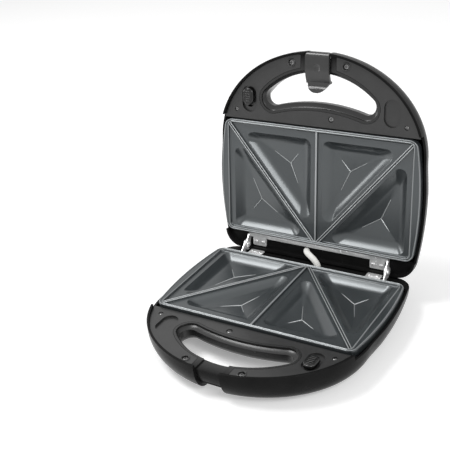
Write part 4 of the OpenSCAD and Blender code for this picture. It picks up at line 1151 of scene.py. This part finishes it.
# Camera: place in metres, azimuth, elevation and roll in degrees, and focal length
CAMERA_AT, CAMERA_ANGLES = (0.41092, -0.68810, 0.53046), (34.262, 27.019, -6.352)
CAMERA_LENS = 72.715


def when_seen(owner, plain, seen_value):
    """plain for light, and seen_value for what the camera, a gloss or clear plastic sees."""
    path = add_node(owner, "LightPath")
    seen = path.outputs["Is Camera Ray"]
    for name in ("Is Glossy Ray", "Is Transmission Ray"):
        add = add_node(owner, "Math")
        add.operation = "MAXIMUM"
        link(owner, seen, add.inputs[0])
        link(owner, path.outputs[name], add.inputs[1])
        seen = add.outputs[0]
    return spread(owner, seen, plain, seen_value)


def make_stage():
    """White floor, soft white surroundings and four soft boxes."""
    bpy.ops.mesh.primitive_plane_add(size=14, location=(0, 0, 0))
    floor = bpy.context.object
    floor.name = "floor"
    mat, shader = new_material("floor")
    set_inputs(shader, {"Base Color": (0.9, 0.9, 0.9, 1), "Roughness": 0.9, "Specular IOR Level": 0,
                        "Emission Color": (1, 1, 1, 1)})
    link(mat, when_seen(mat, 0, FLOOR_LIFT), shader.inputs["Emission Strength"])
    floor.data.materials.append(mat)

    world = bpy.data.worlds.new("surroundings")
    bpy.context.scene.world = world
    world.use_nodes = True
    background = world.node_tree.nodes["Background"]
    link(world, when_seen(world, WORLD_LIGHT, 1.0), background.inputs["Strength"])
    background.inputs["Color"].default_value = (1, 1, 1, 1)

    for name, at, aim, size, power in LIGHTS:
        light = bpy.data.lights.new(name, "AREA")
        light.size = size
        light.energy = power
        obj = new_object(light, name)
        obj.location = at
        obj.rotation_euler = (Vector(aim) - Vector(at)).to_track_quat("-Z", "Y").to_euler()


def make_camera():
    """Camera at the photograph's viewing angle, at a given place and angles that were fitted to the corners of
    both plates.
    """
    azimuth, elevation, roll = (radians(angle) for angle in CAMERA_ANGLES)
    back = Vector((sin(azimuth) * cos(elevation),
                   -cos(azimuth) * cos(elevation), sin(elevation)))
    right = Vector((cos(azimuth), sin(azimuth), 0))
    up = back.cross(right)
    across = right * cos(roll) + up * sin(roll)
    upright = up * cos(roll) - right * sin(roll)
    camera = bpy.data.cameras.new("camera")
    camera.sensor_width = 36
    camera.lens = CAMERA_LENS
    obj = new_object(camera, "camera")
    turn = Matrix((across, upright, back)).transposed().to_4x4()
    obj.matrix_world = Matrix.Translation(CAMERA_AT) @ turn
    bpy.context.scene.camera = obj


def dress_cad_nodes():
    """Smooth shading and the right finish on the CAD nodes that stay."""
    for name, slot in slot_of.items():
        node = frame["nodes"][name]
        node.data.materials.clear()
        node.data.materials.append(materials[slot])
        node.data.polygons.foreach_set("use_smooth", [True] * len(node.data.polygons))
        merge = node.modifiers.new("weld", "WELD")
        merge.merge_threshold = 0.000001
        split = node.modifiers.new("split", "EDGE_SPLIT")
        split.split_angle = radians(28)


def squash_springs():
    """Gives each return spring a mesh of its own."""
    bpy.context.view_layer.update()
    for half in ("base", "lid"):
        node = frame["nodes"][half + "_slider_spring"]
        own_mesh(node)


materials = make_materials()
slot_of = {row["node"]: row["material_slot"] for row in frame["record"]["subparts"]}
dress_cad_nodes()
for half, rear_drop, ear_x in (("base", 7.5, BASE_EAR_X), ("lid", 1.5, LID_EAR_X)):
    cover(half, rear_drop)
    panel(half)
    plate(half)
    slider(half)
    hinge_bar(half, ear_x)
    screws(half + "_panel_screws", half, PANEL_SCREWS, SCREW_SEAT, PANEL_SCREW_L)
    screws(half + "_hinge_screws", half, HINGE_SCREWS, BAR_Z + STEEL_T, HINGE_SCREW_L)
rivets()
latch()
sleeve()
for lens_node, (lens_x, lens_side) in zip(("green_lens", "red_lens"), LENSES):
    lens(lens_node, lens_x, lens_side)
trim()
feet()
gland()
squash_springs()
make_stage()
make_camera()
bpy.context.scene.view_settings.view_transform = "Standard"
